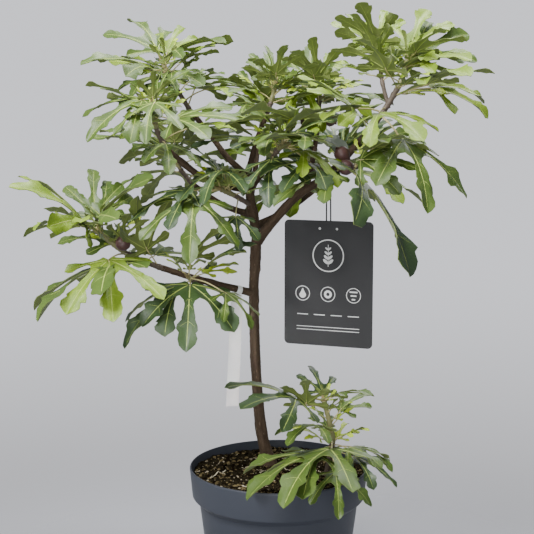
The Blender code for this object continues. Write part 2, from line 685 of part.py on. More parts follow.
def place_leaf(mass, stems, leaf, space, allowed):
    """Try a leaf, a little to each side in turn, and return its solids where it fits.

    It never meets another mass or a limb. Among its own mass it takes the first place
    where it crosses nothing, or else the one with the fewest crossings, up to a limit.
    """
    start = curve_point(stems[leaf.twig], leaf.along)
    best, fewest = None, allowed + 1
    for shift in SHIFTS:
        tried = shifted(leaf, shift)
        stations, foot = petiole_stations(start, tried, TESTED_MARGIN)
        stalk = tube(stations, PETIOLE_SIDES)
        outer = tube(petiole_stations(start, tried, TESTED_MARGIN, outer=True)[0], PETIOLE_SIDES)
        blade = blade_mesh(foot, tried, TESTED_MARGIN)
        blocked, _ = space.contacts(stalk, mass.name)
        crossings = 0
        for mesh in (outer, blade):
            out, count = space.contacts(mesh, mass.name)
            blocked = blocked or out
            crossings += count
        for mesh in (stalk, outer, blade):
            mesh.free()
        if not blocked and crossings < fewest:
            best, fewest = tried, crossings
        if fewest == 0:
            break
    if best is None:
        return []
    stations, foot = petiole_stations(start, best, TESTED_MARGIN, outer=True)
    for mesh in (tube(stations, PETIOLE_SIDES), blade_mesh(foot, best, TESTED_MARGIN)):
        space.add(mass.name, mesh)
        mesh.free()
    return [tube(petiole_stations(start, best)[0], PETIOLE_SIDES), blade_mesh(foot, best)]


def fig_meshes(start, axis, margin=0.0):
    """A pear-shaped fig that points along an axis, on a short stalk."""
    turn = UP.rotation_difference(axis).to_matrix().to_4x4()
    fruit = bmesh.new()
    bmesh.ops.create_uvsphere(fruit, u_segments=7, v_segments=5, radius=1.0)
    for vertex in fruit.verts:
        height = vertex.co.z
        girth = (FIG_RADIUS + margin) * (1.0 - FIG_NECK * max(0.0, -height))
        vertex.co = Vector((vertex.co.x * girth, vertex.co.y * girth, height * FIG_LENGTH / 2))
    centre = start + axis * (FIG_STALK + FIG_LENGTH * 0.35)
    bmesh.ops.transform(fruit, matrix=Matrix.Translation(centre) @ turn, verts=fruit.verts[:])
    stalk = tube([(start, FIG_STALK_RADIUS), (centre, FIG_STALK_RADIUS)], 4)
    return [fruit, stalk]


def stem_limb(mass, tips):
    """The stem of a mass, from 0.3 mm clear of what carries it."""
    points = [Vector(point) for point in mass.points]
    if mass.carrier in tips:
        tip, head = tips[mass.carrier]
        points = [tip + head * CLEAR] + points
    return Limb(mass.name, points, mass.thick, mass.thin, sides=6)


def start_mass(mass, tips, space):
    """Make the stem, side twigs and figs of a mass; return its object, paths and parts."""
    stem = stem_limb(mass, tips)
    stations = limb_stations(stem)
    if mass.carrier in tips:
        head = tips[mass.carrier][1]
        stations.insert(1, (stations[0][0] + head * 0.002, stations[0][1]))
    solid = tube(stations, stem.sides, level_foot=mass.carrier == "soil")
    item = add_object(mass.name, solid, "foliage")
    if mass.carrier == TRUNK.name:
        cutter = add_object("cutter", tube(limb_stations(TRUNK, CLEAR), TRUNK.sides))
        apply_boolean(item, "DIFFERENCE", [cutter])
    mesh = bmesh.new()
    mesh.from_mesh(item.data)
    space.add(mass.name, mesh)
    mesh.free()
    stems, parts = [stem.points], []
    for along, bearing, rise, length in mass.twigs:
        start = curve_point(stem.points, along)
        end = start + heading(bearing, rise) * length
        middle = (start + end) / 2 + heading(bearing, 0.0) * length * 0.08
        twig = Limb("twig", [start, middle, end], mass.thin, mass.thin * 0.8, sides=5)
        parts.append(tube(limb_stations(twig), twig.sides))
        space.add(mass.name, parts[-1])
        stems.append(twig.points)
    for along, bearing, rise in mass.figs:
        start, axis = curve_point(stem.points, along), heading(bearing, rise)
        tried = fig_meshes(start, axis, TESTED_MARGIN)
        if space.contacts(tried[0], "") == (False, 0):
            space.add(mass.name, tried[0])
            parts += fig_meshes(start, axis)
    return item, stems, parts


def grow_masses(tips, space):
    """Grow every mass, its reaching leaves before the ones that fill it, and fuse each."""
    started = [(mass, *start_mass(mass, tips, space)) for mass in MASSES]
    for mass, _, stems, parts in started:
        for leaf in mass.leaves:
            parts.extend(place_leaf(mass, stems, leaf, space, REACHING_CROSSINGS))
    for mass, _, stems, parts in started:
        for leaf in rule_leaves(mass):
            parts.extend(place_leaf(mass, stems, leaf, space, RULE_CROSSINGS))
    for mass, item, _, parts in started:
        others = [add_object(f"{mass.name}_{index}", part) for index, part in enumerate(parts)]
        apply_boolean(item, "UNION", others)


def filled_pot_skin():
    """The outside of the filled pot, a little large, that no leaf may meet."""
    filled = SOIL_TOP + SOIL_LUMP
    profile = [(0.0, 0.0), *wall_profile(-CLEAR), (RIM_RADIUS - POT_WALL, POT_HEIGHT + CLEAR),
               (wall_radius(SOIL_TOP, POT_WALL), filled), (0.0, filled)]
    return turned(profile, POT_STEPS)


def build_limbs(space):
    """The trunk and the boughs, each cut 0.3 mm clear of those before it."""
    add_object(TRUNK.name, tube(limb_stations(TRUNK), TRUNK.sides, level_foot=True), "bark")
    space.add(TRUNK.name, tube(limb_stations(TRUNK, CLEAR), TRUNK.sides, level_foot=True))
    built, tips = {TRUNK.name: TRUNK}, {}
    for limb, carrier in BOUGHS:
        item = add_object(limb.name, tube(limb_stations(limb), limb.sides), "bark")
        cutters = [add_object("cutter", tube(limb_stations(other, CLEAR), other.sides))
                   for other in built.values()]
        apply_boolean(item, "DIFFERENCE", cutters)
        space.add(limb.name, tube(limb_stations(limb, CLEAR), limb.sides))
        built[limb.name] = limb
        stations = limb_stations(limb)
        tips[limb.name] = (stations[-1][0], (stations[-1][0] - stations[-2][0]).normalized())
    return tips


def round_bough(name, place):
    """Centre of a bough at a share of its length, its heading, and the two ways across it."""
    bough = next(limb for limb, _ in BOUGHS if limb.name == name)
    points = [Vector(point) for point in bough.points]
    centre = curve_point(points, place)
    along = (curve_point(points, place + 0.02) - centre).normalized()
    outwards = UP.cross(along).normalized()
    return centre, along, outwards, along.cross(outwards)


def build_tag(space):
    """The hang tag on its strap, which loops over the right bough."""
    card = bmesh.new()
    bmesh.ops.create_cube(card, size=1.0, matrix=Matrix.Diagonal((*TAG_SIZE, 1.0)))
    corners = [edge for edge in card.edges
               if abs(edge.verts[0].co.y - edge.verts[1].co.y) > TAG_SIZE[1] / 2]
    bmesh.ops.bevel(card, geom=corners, offset=TAG_CORNER, segments=4, profile=0.5,
                    affect="EDGES", material=-1)
    place = Matrix.Translation(TAG_CENTRE) @ Matrix.Rotation(math.radians(TAG_TURN), 4, "Z")
    bmesh.ops.transform(card, matrix=place, verts=card.verts[:])
    space.add("tag_card", card)
    add_object("tag_card", card, "tag_black")
    top = TAG_CENTRE + UP * (TAG_SIZE[2] / 2 + CLEAR)
    centre, _, outwards, over = round_bough("bough_right", STRAP_PLACE)
    leg = heading(TAG_TURN, 0.0) * STRAP_LEGS / 2
    points = [top + leg]
    for step in range(STRAP_TURNS + 1):
        turn = math.radians(STRAP_START + (180.0 - 2 * STRAP_START) * step / STRAP_TURNS)
        points.append(centre + (outwards * math.cos(turn) + over * math.sin(turn)) * STRAP_REACH)
    points.append(top - leg)
    strap = tube([(point, STRAP_RADIUS) for point in points], 6)
    space.add("tag_strap", strap)
    add_object("tag_strap", strap, "strap_black")


def build_label(space):
    """The narrow white label that loops over the lower left bough and hangs down."""
    centre, along, outwards, over = round_bough("bough_lower_left", LABEL_PLACE)
    turns = [math.radians(LABEL_START + LABEL_STEP * step) for step in range(LABEL_TURNS)]
    spine = [(centre + (outwards * math.cos(turn) + over * math.sin(turn)) * LABEL_REACH, along, LABEL_NECK)
             for turn in turns]
    foot = spine[-1][0]
    level = Vector((-1.0, 0.0, 0.0))
    for share in (0.10, 0.25, 0.6, 1.0):
        hang = Vector((LABEL_DRIFT.x * share, LABEL_DRIFT.y * share, -LABEL_LENGTH * share))
        spine.append((foot + hang, along.lerp(level, min(1.0, 3 * share)).normalized(), LABEL_WIDTH))
    mesh = bmesh.new()
    rings = []
    for index, (point, across, width) in enumerate(spine):
        ahead = spine[min(index + 1, len(spine) - 1)][0] - spine[max(index - 1, 0)][0]
        out = across.cross(ahead).normalized() * LABEL_THICKNESS / 2
        side = across * width / 2
        corners = (side + out, out - side, -side - out, side - out)
        rings.append([mesh.verts.new(point + corner) for corner in corners])
    for ring in (rings[0], rings[-1]):
        mesh.faces.new(ring)
    for first, second in zip(rings, rings[1:]):
        for corner in range(4):
            after = (corner + 1) % 4
            mesh.faces.new((first[corner], first[after], second[after], second[corner]))
    bmesh.ops.triangulate(mesh, faces=mesh.faces[:])
    bmesh.ops.recalc_face_normals(mesh, faces=mesh.faces[:])
    space.add("label_strip", mesh)
    add_object("label_strip", mesh, "label_white")


def main():
    """Build the whole plant."""
    clear_scene()
    space = Space()
    build_pot()
    build_soil()
    tips = build_limbs(space)
    build_tag(space)
    build_label(space)
    space.add("pot", filled_pot_skin())
    grow_masses(tips, space)


main()
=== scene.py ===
"""Looks of a young fig tree in a round nursery pot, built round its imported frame.

All sizes are metres in the frame's axes, +Z up and -Y to the front. Each mass of foliage
is grown again by the rule that grew its solid, within the same reach, with lobed and
toothed leaves, veins, finer twigs, buds and figs. Every piece rides on the one body, root.
"""

import logging
import math
import random
from dataclasses import dataclass, field, replace
from enum import Enum
from typing import Callable, Iterator, Optional, Sequence

import bmesh
import bpy
from mathutils import Matrix, Vector, noise
from mathutils.bvhtree import BVHTree


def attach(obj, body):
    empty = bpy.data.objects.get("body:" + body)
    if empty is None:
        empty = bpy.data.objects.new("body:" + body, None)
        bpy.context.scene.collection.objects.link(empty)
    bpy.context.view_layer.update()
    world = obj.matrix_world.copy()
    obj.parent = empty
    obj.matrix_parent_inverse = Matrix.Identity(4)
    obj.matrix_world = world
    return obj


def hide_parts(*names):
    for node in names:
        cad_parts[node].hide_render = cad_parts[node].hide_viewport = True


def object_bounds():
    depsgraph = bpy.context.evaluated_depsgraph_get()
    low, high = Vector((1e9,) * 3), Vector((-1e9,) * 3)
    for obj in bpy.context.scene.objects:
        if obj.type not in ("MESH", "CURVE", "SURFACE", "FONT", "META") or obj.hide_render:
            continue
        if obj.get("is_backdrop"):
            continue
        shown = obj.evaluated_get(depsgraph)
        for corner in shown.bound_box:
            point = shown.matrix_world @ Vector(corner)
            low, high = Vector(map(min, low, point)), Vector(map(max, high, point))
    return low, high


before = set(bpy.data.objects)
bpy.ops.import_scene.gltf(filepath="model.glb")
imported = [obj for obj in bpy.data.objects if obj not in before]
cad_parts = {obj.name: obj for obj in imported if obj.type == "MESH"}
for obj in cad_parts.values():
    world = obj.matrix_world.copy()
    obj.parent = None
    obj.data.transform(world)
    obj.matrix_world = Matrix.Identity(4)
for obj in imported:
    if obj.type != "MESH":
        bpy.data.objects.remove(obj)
CAD_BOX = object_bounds()
LOG = logging.getLogger("fig_tree")

# Types of what the functions take and give
Mesh = bmesh.types.BMesh
Colour = tuple[float, float, float]
Pair = tuple[float, float]
Station = tuple[Vector, float]
Relief = Callable[[float, float], float]
Map = Callable[[float, float], Vector]

UP = Vector((0.0, 0.0, 1.0))
RIGHT = Vector((1.0, 0.0, 0.0))
WELD = 1e-6
NEARLY_UPRIGHT = 1e-4
LAST_SPAN = 1e-9
BODY = "root"

# The pot and the compost, as in the frame
POT_HEIGHT = 0.165
SOIL_TOP = 0.155
SOIL_LUMP = 0.0022
LEVEL_RADIUS = 0.032
TRUNK_FOOT = Vector((-0.01, 0.03, SOIL_TOP))
SHOOT_FOOT = Vector((0.056, -0.012, SOIL_TOP))

# The rule that grew the foliage of the frame, with its angles in degrees
GOLDEN_ANGLE = 137.5
JITTER = 14.0
SHIFTS = [(0, 0), (7, 0), (-7, 0), (0, 9), (0, -9), (15, 8), (-15, 8), (15, -8), (-15, -8),
          (28, 0), (-28, 0), (0, 22), (0, -22), (40, 14), (-40, 14), (55, 0), (-55, 0)]
STEEPEST = (-75.0, 78.0)
DROOP = 0.75  # radians that a blade bends from its foot to its tip

# A solid leaf's lobes, as angles and shares of its blade, half its thickness, how near the
# tip of a lobe has to lie to the solid, and how many tips show that the leaf was kept
SOLID_TIPS = [(0.0, 1.0), (42.0, 0.86), (-42.0, 0.86), (90.0, 0.5), (-90.0, 0.5)]
SOLID_HALF = 0.00065
MATCH_REACH = 0.0002
MATCH_LEAST = 3

# Where along its ribs a leaf is tested, and how wide round each fig no young leaf hangs
RIB_SHARES = (0.1, 0.4, 0.7, 1.0)
FIG_VIEW = 0.013


@dataclass
class Limb:
    """A tapering woody limb through a few waypoints, with its two end radii."""

    name: str
    points: list
    thick: float
    thin: float
    swellings: list = field(default_factory=list)
    flare: float = 0.0


@dataclass
class Leaf:
    """One leaf: where it leaves its stem, which way it points and how big it is."""

    along: float
    bearing: float
    rise: float
    blade: float
    petiole: float = 0.024
    lift: float = 25.0
    swing: float = 0.0
    roll: float = 0.0
    twig: int = 0


class Tint(Enum):
    """Greens of leaves' upper sides: own tones, also dealt as painted light and shade."""

    YOUNG = "leaf_young"
    FRESH = "leaf_fresh"
    MID = "leaf_mid"
    DEEP = "leaf_deep"


# Paler greens high in the crown, darker ones low inside it: own tone plus painted light and shade
PALE_TONE_AND_PAINTED_SUN = (Tint.FRESH, Tint.FRESH, Tint.MID, Tint.MID)
MIXED = (Tint.FRESH, Tint.MID, Tint.MID, Tint.DEEP)
DARK_TONE_AND_PAINTED_SHADE = (Tint.MID, Tint.DEEP, Tint.DEEP, Tint.MID)


@dataclass
class Mass:
    """A mass of foliage: its stem, its side twigs, its leaves, its figs and its greens.

    A side twig is its place along the stem, its bearing, its rise and its length, and a fig
    is its place along the stem, its bearing and its rise. After the listed leaves, more says
    how many grow by the rule, and small how many young ones.
    """

    name: str
    carrier: str
    points: list
    leaves: list
    more: int = 0
    seed: int = 1
    turn: float = 90.0
    spread: float = 360.0
    blade: float = 0.085
    thick: float = 0.003
    thin: float = 0.0022
    twigs: list = field(default_factory=list)
    figs: list = field(default_factory=list)
    tints: tuple = MIXED
    small: int = 3


TRUNK = Limb(
    "trunk",
    [TRUNK_FOOT, (-0.0205, 0.028, 0.2), (-0.027, 0.025, 0.28), (-0.029, 0.024, 0.37),
     (-0.0265, 0.022, 0.432), (-0.032, 0.022, 0.47), (-0.036, 0.022, 0.508)],
    thick=0.0068, thin=0.0048, flare=0.0032,
    swellings=[(0.18, 0.0006), (0.6, 0.001), (0.79, 0.0016), (0.97, 0.0014)],
)

BOUGHS = [
    Limb("bough_right",
         [(-0.025, 0.021, 0.429), (0.017, 0.0, 0.479), (0.055, -0.02, 0.507),
          (0.074, -0.03, 0.528), (0.099, -0.04, 0.557)],
         thick=0.0056, thin=0.0036, swellings=[(0.55, 0.0009)]),
    Limb("bough_inner_right",
         [(0.031, -0.007, 0.4895), (0.041, 0.018, 0.534), (0.046, 0.035, 0.577)],
         thick=0.0032, thin=0.0027),
    Limb("spur_right",
         [(0.062, -0.0237, 0.513), (0.071, -0.038, 0.515), (0.078, -0.047, 0.516)],
         thick=0.003, thin=0.0026),
    Limb("bough_lower_left",
         [(-0.029, 0.024, 0.366), (-0.085, 0.0, 0.384), (-0.133, -0.02, 0.402)],
         thick=0.0042, thin=0.0034, swellings=[(0.45, 0.0006)]),
    Limb("spur_low",
         [(-0.085, 0.0, 0.384), (-0.09, -0.015, 0.384), (-0.095, -0.024, 0.386)],
         thick=0.0026, thin=0.0023),
    Limb("bough_left",
         [(-0.0345, 0.022, 0.488), (-0.083, 0.002, 0.501), (-0.126, -0.01, 0.535)],
         thick=0.0042, thin=0.0033, swellings=[(0.75, 0.0006)]),
    Limb("bough_high_left",
         [(-0.0355, 0.023, 0.503), (-0.06, 0.05, 0.524), (-0.08, 0.065, 0.549),
          (-0.106, 0.075, 0.58)],
         thick=0.0038, thin=0.003),
    Limb("bough_top",
         [(-0.036, 0.022, 0.506), (-0.0255, 0.029, 0.545), (-0.014, 0.035, 0.573)],
         thick=0.0034, thin=0.0027),
    Limb("bough_back",
         [(-0.033, 0.022, 0.48), (-0.029, 0.065, 0.5), (-0.025, 0.096, 0.532)],
         thick=0.0038, thin=0.003),
    Limb("bough_back_left",
         [(-0.03, 0.023, 0.458), (-0.068, 0.062, 0.468), (-0.105, 0.098, 0.49)],
         thick=0.004, thin=0.003),
    Limb("bough_back_right",
         [(-0.0275, 0.023, 0.445), (0.015, 0.062, 0.464), (0.053, 0.095, 0.49)],
         thick=0.0042, thin=0.0031),
    Limb("bough_front",
         [(-0.03, 0.022, 0.493), (-0.02, -0.005, 0.507), (-0.008, -0.024, 0.524)],
         thick=0.0034, thin=0.0028),
]

# Each mass's greens, paler high and darker low inside the crown: own tone plus painted light and
# shade
MASSES = [
    Mass("foliage_upper_right", "bough_right",
         [(0.118, -0.04, 0.584), (0.134, -0.036, 0.612), (0.14, -0.035, 0.634)],
         [Leaf(0.45, -60, 8, 0.09, 0.04, 12, 45, 20),
          Leaf(0.45, 35, -10, 0.095, 0.05, 22, -20, 35),
          Leaf(0.3, -58, -26, 0.078, 0.042, 18, -46, 10),
          Leaf(0.22, -68, -46, 0.11, 0.04, 5, 25),
          Leaf(0.05, -135, 14, 0.09, 0.03, 20, 0, -25),
          Leaf(1.0, 55, 42, 0.072, 0.014, 20),
          Leaf(0.98, -62, 18, 0.066, 0.017, 10),
          Leaf(0.95, 28, 20, 0.08, 0.014, 10, 0, 40),
          Leaf(0.85, -40, 2, 0.072, 0.016, 8, 0, 25),
          Leaf(0.55, -128, 24, 0.078, 0.04, 4, 12),
          Leaf(0.8, -130, 38, 0.064, 0.014, 8, twig=1),
          Leaf(1.0, 126, 46, 0.062, 0.015, 6, twig=1),
          Leaf(1.0, 80, 48, 0.052, 0.015, 8, twig=1)],
         more=4, seed=11, turn=20, blade=0.085, thick=0.0036, thin=0.0024,
         twigs=[(0.35, 108, 66, 0.062)],
         tints=(Tint.FRESH, Tint.FRESH, Tint.MID, Tint.FRESH), small=14),
    Mass("foliage_right", "spur_right",
         [(0.084, -0.053, 0.519), (0.088, -0.058, 0.524)],
         [Leaf(0.6, -52, -54, 0.138, 0.018, 24, -48, -30),
          Leaf(0.8, -5, -8, 0.076, 0.02, 20, -85, 50)],
         more=3, seed=4, turn=-10, spread=150, blade=0.08, thick=0.0026,
         figs=[(0.24, 176, 50), (0.26, -118, 2)], small=4),
    Mass("foliage_inner_right", "bough_inner_right",
         [(0.047, 0.036, 0.59), (0.0475, 0.033, 0.602)],
         [Leaf(0.9, 78, 50, 0.062, 0.014, -10, 100),
          Leaf(0.7, -121, 33, 0.056, 0.026, 26),
          Leaf(0.75, -28, -26, 0.092, 0.02, 56, -150, 25),
          Leaf(0.3, -95, 10, 0.06, 0.024, 25)],
         more=5, seed=7, turn=60, blade=0.074, thick=0.0027, thin=0.0021,
         figs=[(0.23, -162, -42), (0.23, -20, -42)], tints=PALE_TONE_AND_PAINTED_SUN, small=8),
    Mass("foliage_front", "bough_front",
         [(-0.001, -0.038, 0.537), (0.008, -0.05, 0.542)],
         [Leaf(0.95, -130, -6, 0.085, 0.034, 20, 75),
          Leaf(0.45, -132, 4, 0.092, 0.04, 50, 90),
          Leaf(0.8, -112, -22, 0.082, 0.036, -10, 95),
          Leaf(0.15, -95, -44, 0.072, 0.02, 40),
          Leaf(0.55, -50, -35, 0.07, 0.03, 30, 20)],
         more=4, seed=3, turn=-60, blade=0.08, thick=0.0028, small=10),
    Mass("foliage_top", "bough_top",
         [(-0.009, 0.036, 0.588), (-0.004, 0.035, 0.607)],
         [Leaf(1.0, 110, 56, 0.048, 0.012, 10),
          Leaf(0.95, -139, 31, 0.044, 0.012, 20),
          Leaf(0.35, -165, 12, 0.062, 0.022, 30),
          Leaf(0.6, -30, 25, 0.06, 0.018, 25)],
         more=4, seed=9, turn=40, blade=0.066, thick=0.0027, thin=0.002,
         tints=PALE_TONE_AND_PAINTED_SUN, small=7),
    Mass("foliage_high_left", "bough_high_left",
         [(-0.122, 0.075, 0.606), (-0.137, 0.07, 0.634)],
         [Leaf(0.78, -146, 4, 0.098, 0.026, 6, 0, -20),
          Leaf(1.0, 130, 31, 0.086, 0.02, 20),
          Leaf(0.95, -36, 8, 0.082, 0.022, 30, 0, 25),
          Leaf(0.7, -112, -16, 0.074, 0.024, 12),
          Leaf(0.8, -88, -32, 0.072, 0.026, 30, 15),
          Leaf(0.1, -36, 12, 0.046, 0.034, 48)],
         more=5, seed=5, turn=70, spread=200, blade=0.08,
         figs=[(0.62, -104, 8)], tints=(Tint.MID, Tint.FRESH, Tint.MID), small=7),
    Mass("foliage_left", "bough_left",
         [(-0.137, -0.016, 0.557), (-0.141, -0.02, 0.584)],
         [Leaf(1.0, -80, 55, 0.036, 0.01, 10),
          Leaf(0.9, -150, -30, 0.088, 0.016, 70, 0, -25),
          Leaf(0.8, -103, -40, 0.07, 0.032, 62, 20),
          Leaf(0.75, -14, -4, 0.086, 0.034, 0, -30, 20),
          Leaf(0.25, -75, -30, 0.064, 0.022, 24)],
         more=4, seed=8, turn=120, spread=200, blade=0.08, thick=0.0032,
         tints=(Tint.FRESH, Tint.MID, Tint.MID), small=6),
    Mass("foliage_middle_left", "trunk",
         [(-0.0325, 0.0215, 0.47), (-0.05, -0.006, 0.483), (-0.066, -0.028, 0.492)],
         [Leaf(0.95, -96, -44, 0.096, 0.036, 30, -50),
          Leaf(0.7, -107, -30, 0.078, 0.034, 80),
          Leaf(0.4, -82, -50, 0.05, 0.034, 15, -13),
          Leaf(0.85, -165, -25, 0.084, 0.038, 25, 0, -30)],
         more=2, seed=6, turn=-150, spread=120, blade=0.075,
         tints=DARK_TONE_AND_PAINTED_SHADE, small=9),
    Mass("foliage_lower_left", "bough_lower_left",
         [(-0.17, -0.03, 0.419), (-0.203, -0.04, 0.446)],
         [Leaf(1.0, -136, 27, 0.108, 0.02, 4, 0, -20),
          Leaf(0.92, -122, 0, 0.084, 0.034, 20),
          Leaf(1.0, 106, 48, 0.068, 0.02, 10),
          Leaf(0.95, -24, 32, 0.092, 0.018, 28, -60, 30),
          Leaf(0.08, -100, 60, 0.076, 0.026, -8, -33, 55),
          Leaf(0.5, -80, -38, 0.1, 0.056, 38, -24),
          Leaf(0.3, -132, -24, 0.13, 0.046, 26, 6)],
         more=4, seed=2, turn=150, spread=170, blade=0.085, thick=0.0034, thin=0.0024,
         figs=[(0.62, -70, 24)], tints=(Tint.MID, Tint.MID, Tint.FRESH), small=5),
    Mass("foliage_low_middle", "spur_low",
         [(-0.099, -0.03, 0.39), (-0.102, -0.036, 0.394)],
         [Leaf(0.6, -88, -38, 0.104, 0.018, 26),
          Leaf(0.4, -150, -40, 0.1, 0.016, 20),
          Leaf(0.95, -38, 36, 0.068, 0.022, 40),
          Leaf(0.8, -40, -46, 0.054, 0.056, 34)],
         more=1, turn=30, spread=90, blade=0.07, thick=0.0023, thin=0.002, tints=DARK_TONE_AND_PAINTED_SHADE),
    Mass("foliage_back", "bough_back",
         [(-0.021, 0.108, 0.556), (-0.019, 0.113, 0.576)],
         [Leaf(1.0, 85, 50, 0.06, 0.016, 10)],
         more=7, seed=13, turn=100, blade=0.086),
    Mass("foliage_back_left", "bough_back_left",
         [(-0.121, 0.112, 0.508), (-0.13, 0.118, 0.526)],
         [Leaf(0.9, 150, 10, 0.096, 0.028, 15)],
         more=7, seed=14, turn=150, blade=0.09),
    Mass("foliage_back_right", "bough_back_right",
         [(0.07, 0.108, 0.509), (0.08, 0.114, 0.528)],
         [Leaf(0.9, 20, 12, 0.098, 0.03, 15)],
         more=7, seed=15, turn=30, blade=0.09,
         figs=[(0.4, 200, 20)]),
    Mass("shoot", "soil",
         [(0.056, -0.012, 0.1553), (0.06, -0.017, 0.185), (0.062, -0.02, 0.206),
          (0.052, -0.021, 0.248)],
         [Leaf(1.0, -140, 4, 0.098, 0.044, 8, 0, -25),
          Leaf(0.9, -92, 44, 0.054, 0.034, -24, -45),
          Leaf(1.0, 107, 35, 0.044, 0.01, 20),
          Leaf(1.0, -34, 12, 0.058, 0.014, 16),
          Leaf(0.72, -119, -6, 0.064, 0.046, 28),
          Leaf(0.56, -126, -16, 0.122, 0.07, 26, 30),
          Leaf(0.44, -140, -18, 0.108, 0.075, 28, 34),
          Leaf(0.4, -84, -36, 0.064, 0.08, 34, -6),
          Leaf(0.5, -52, -12, 0.056, 0.028, 18),
          Leaf(0.42, -24, -24, 0.056, 0.03, 34)],
         more=2, seed=16, turn=60, spread=160, blade=0.062, thick=0.0036, thin=0.0024,
         tints=(Tint.MID, Tint.DEEP, Tint.MID, Tint.MID), small=10),
]


def heading(bearing: float, rise: float) -> Vector:
    """Unit vector of a bearing and a rise.

    Args:
        bearing: Degrees in plan, 0 along +X and -90 to the front.
        rise: Degrees above level.

    Returns:
        The direction.
    """
    turn, tilt = math.radians(bearing), math.radians(rise)
    return Vector((math.cos(turn) * math.cos(tilt), math.sin(turn) * math.cos(tilt),
                   math.sin(tilt)))


def curve_point(points: Sequence[Vector], share: float) -> Vector:
    """A point on the smooth curve through waypoints.

    Args:
        points: The waypoints.
        share: 0 at the first and 1 at the last, even over the spans.

    Returns:
        The point.
    """
    spans = len(points) - 1
    place = min(share * spans, spans - LAST_SPAN)
    index = int(place)
    t = place - index
    before, start = points[max(index - 1, 0)], points[index]
    end, after = points[index + 1], points[min(index + 2, spans)]
    return 0.5 * (2 * start + (end - before) * t
                  + (2 * before - 5 * start + 4 * end - after) * t * t
                  + (3 * start - before - 3 * end + after) * t * t * t)


def length_of(points: Sequence[Vector]) -> float:
    """Length of the line through some points."""
    return sum((b - a).length for a, b in zip(points, points[1:]))


def bell(off: float, reach: float) -> float:
    """A bell of height 1 at no distance, which fades over a reach."""
    return math.exp(-(off / reach) ** 2)


def eased(value: float, low: float, high: float) -> float:
    """Smooth step of a value from 0 at low to 1 at high.

    Args:
        value: The value.
        low: Where the step starts.
        high: Where it ends.

    Returns:
        A share from 0 to 1.
    """
    share = max(0.0, min(1.0, (value - low) / (high - low)))
    return share * share * (3.0 - 2.0 * share)


def mapped_grid(rows: int, columns: int, place: Map, around: float = 1.0,
                length: float = 1.0) -> Mesh:
    """Make a grid and move each vertex to where a function puts it.

    Args:
        rows: Faces along the first share.
        columns: Faces along the second share.
        place: Gives the place for two shares from 0 to 1.
        around: Width of the grid in its UV map.
        length: Length of the grid in its UV map.

    Returns:
        The mesh, with a UV map of its two shares.
    """
    mesh = bmesh.new()
    bmesh.ops.create_grid(mesh, x_segments=rows, y_segments=columns, size=0.5)
    layer = mesh.loops.layers.uv.new("UVMap")
    for face in mesh.faces:
        for loop in face.loops:
            at = loop.vert.co
            loop[layer].uv = ((at.y + 0.5) * around, (at.x + 0.5) * length)
    for vertex in mesh.verts:
        vertex.co = place(vertex.co.x + 0.5, vertex.co.y + 0.5)
    return mesh


def sealed(mesh: Mesh) -> Mesh:
    """Merge a mesh's doubled vertices, turn its faces outwards and return it."""
    bmesh.ops.remove_doubles(mesh, verts=mesh.verts[:], dist=WELD)
    bmesh.ops.dissolve_degenerate(mesh, edges=mesh.edges[:], dist=WELD)
    bmesh.ops.recalc_face_normals(mesh, faces=mesh.faces[:])
    return mesh


def swept(path: Sequence[Station], sides: int, relief: Optional[Relief] = None,
          out: Optional[Vector] = None) -> Mesh:
    """Sweep a ring along a path and close both ends.

    Args:
        path: Centres and radii.
        sides: Sides of the ring.
        relief: Extra radius for an angle and a distance along, if any.
        out: The way the ring's first axis starts out, if it matters.

    Returns:
        A closed mesh whose UV map runs round and along in metres.
    """
    centres = [centre for centre, _ in path]
    heads = [(b - a).normalized() for a, b in zip(centres, centres[1:])]
    heads.append(heads[-1])
    tangents = [heads[0]] + [(a + b).normalized() for a, b in zip(heads, heads[1:])]
    side = out if out else UP.cross(tangents[0])
    if side.length < NEARLY_UPRIGHT:
        side = RIGHT
    sideways, lengths, total = [], [], 0.0
    for index, tangent in enumerate(tangents):
        side = (side - tangent * side.dot(tangent)).normalized()
        sideways.append(side.copy())
        total += (centres[index] - centres[index - 1]).length if index else 0.0
        lengths.append(total)
    rows = len(path) + 1

    def place(share: float, turn: float) -> Vector:
        row = round(share * rows)
        index = min(max(row - 1, 0), len(path) - 1)
        centre, radius = path[index]
        if row in (0, rows):
            return centre.copy()
        angle = 2 * math.pi * turn
        if relief:
            radius += relief(angle, lengths[index])
        second = tangents[index].cross(sideways[index])
        return centre + radius * (sideways[index] * math.cos(angle) + second * math.sin(angle))

    girth = 2 * math.pi * max(radius for _, radius in path)
    return sealed(mapped_grid(rows, sides, place, girth, total))


def turned(profile: Sequence[Pair], steps: int) -> Mesh:
    """Spin a profile about the Z axis into a closed solid.

    Args:
        profile: Radius and height of each corner, from axis to axis.
        steps: Steps of the turn.

    Returns:
        The mesh.
    """
    mesh = bmesh.new()
    corners = [mesh.verts.new((radius, 0.0, height)) for radius, height in profile]
    edges = [mesh.edges.new(pair) for pair in zip(corners, corners[1:])]
    bmesh.ops.spin(mesh, geom=corners + edges, cent=(0, 0, 0), axis=(0, 0, 1), dvec=(0, 0, 0),
                   angle=2 * math.pi, steps=steps, use_merge=True)
    return sealed(mesh)


def append_mesh(whole: Mesh, part: Mesh, slot: int = 0) -> None:
    """Copy a mesh into another and free it.

    Args:
        whole: The mesh that grows.
        part: The mesh that is copied.
        slot: Material slot of the copied faces.
    """
    for face in part.faces:
        face.material_index = slot
    holder = bpy.data.meshes.new("part")
    part.to_mesh(holder)
    part.free()
    whole.from_mesh(holder)
    bpy.data.meshes.remove(holder)


def place_object(name: str, data: bpy.types.ID) -> bpy.types.Object:
    """Make an object of a mesh, a light or a camera, and link it to the scene."""
    made = bpy.data.objects.new(name, data)
    bpy.context.scene.collection.objects.link(made)
    return made


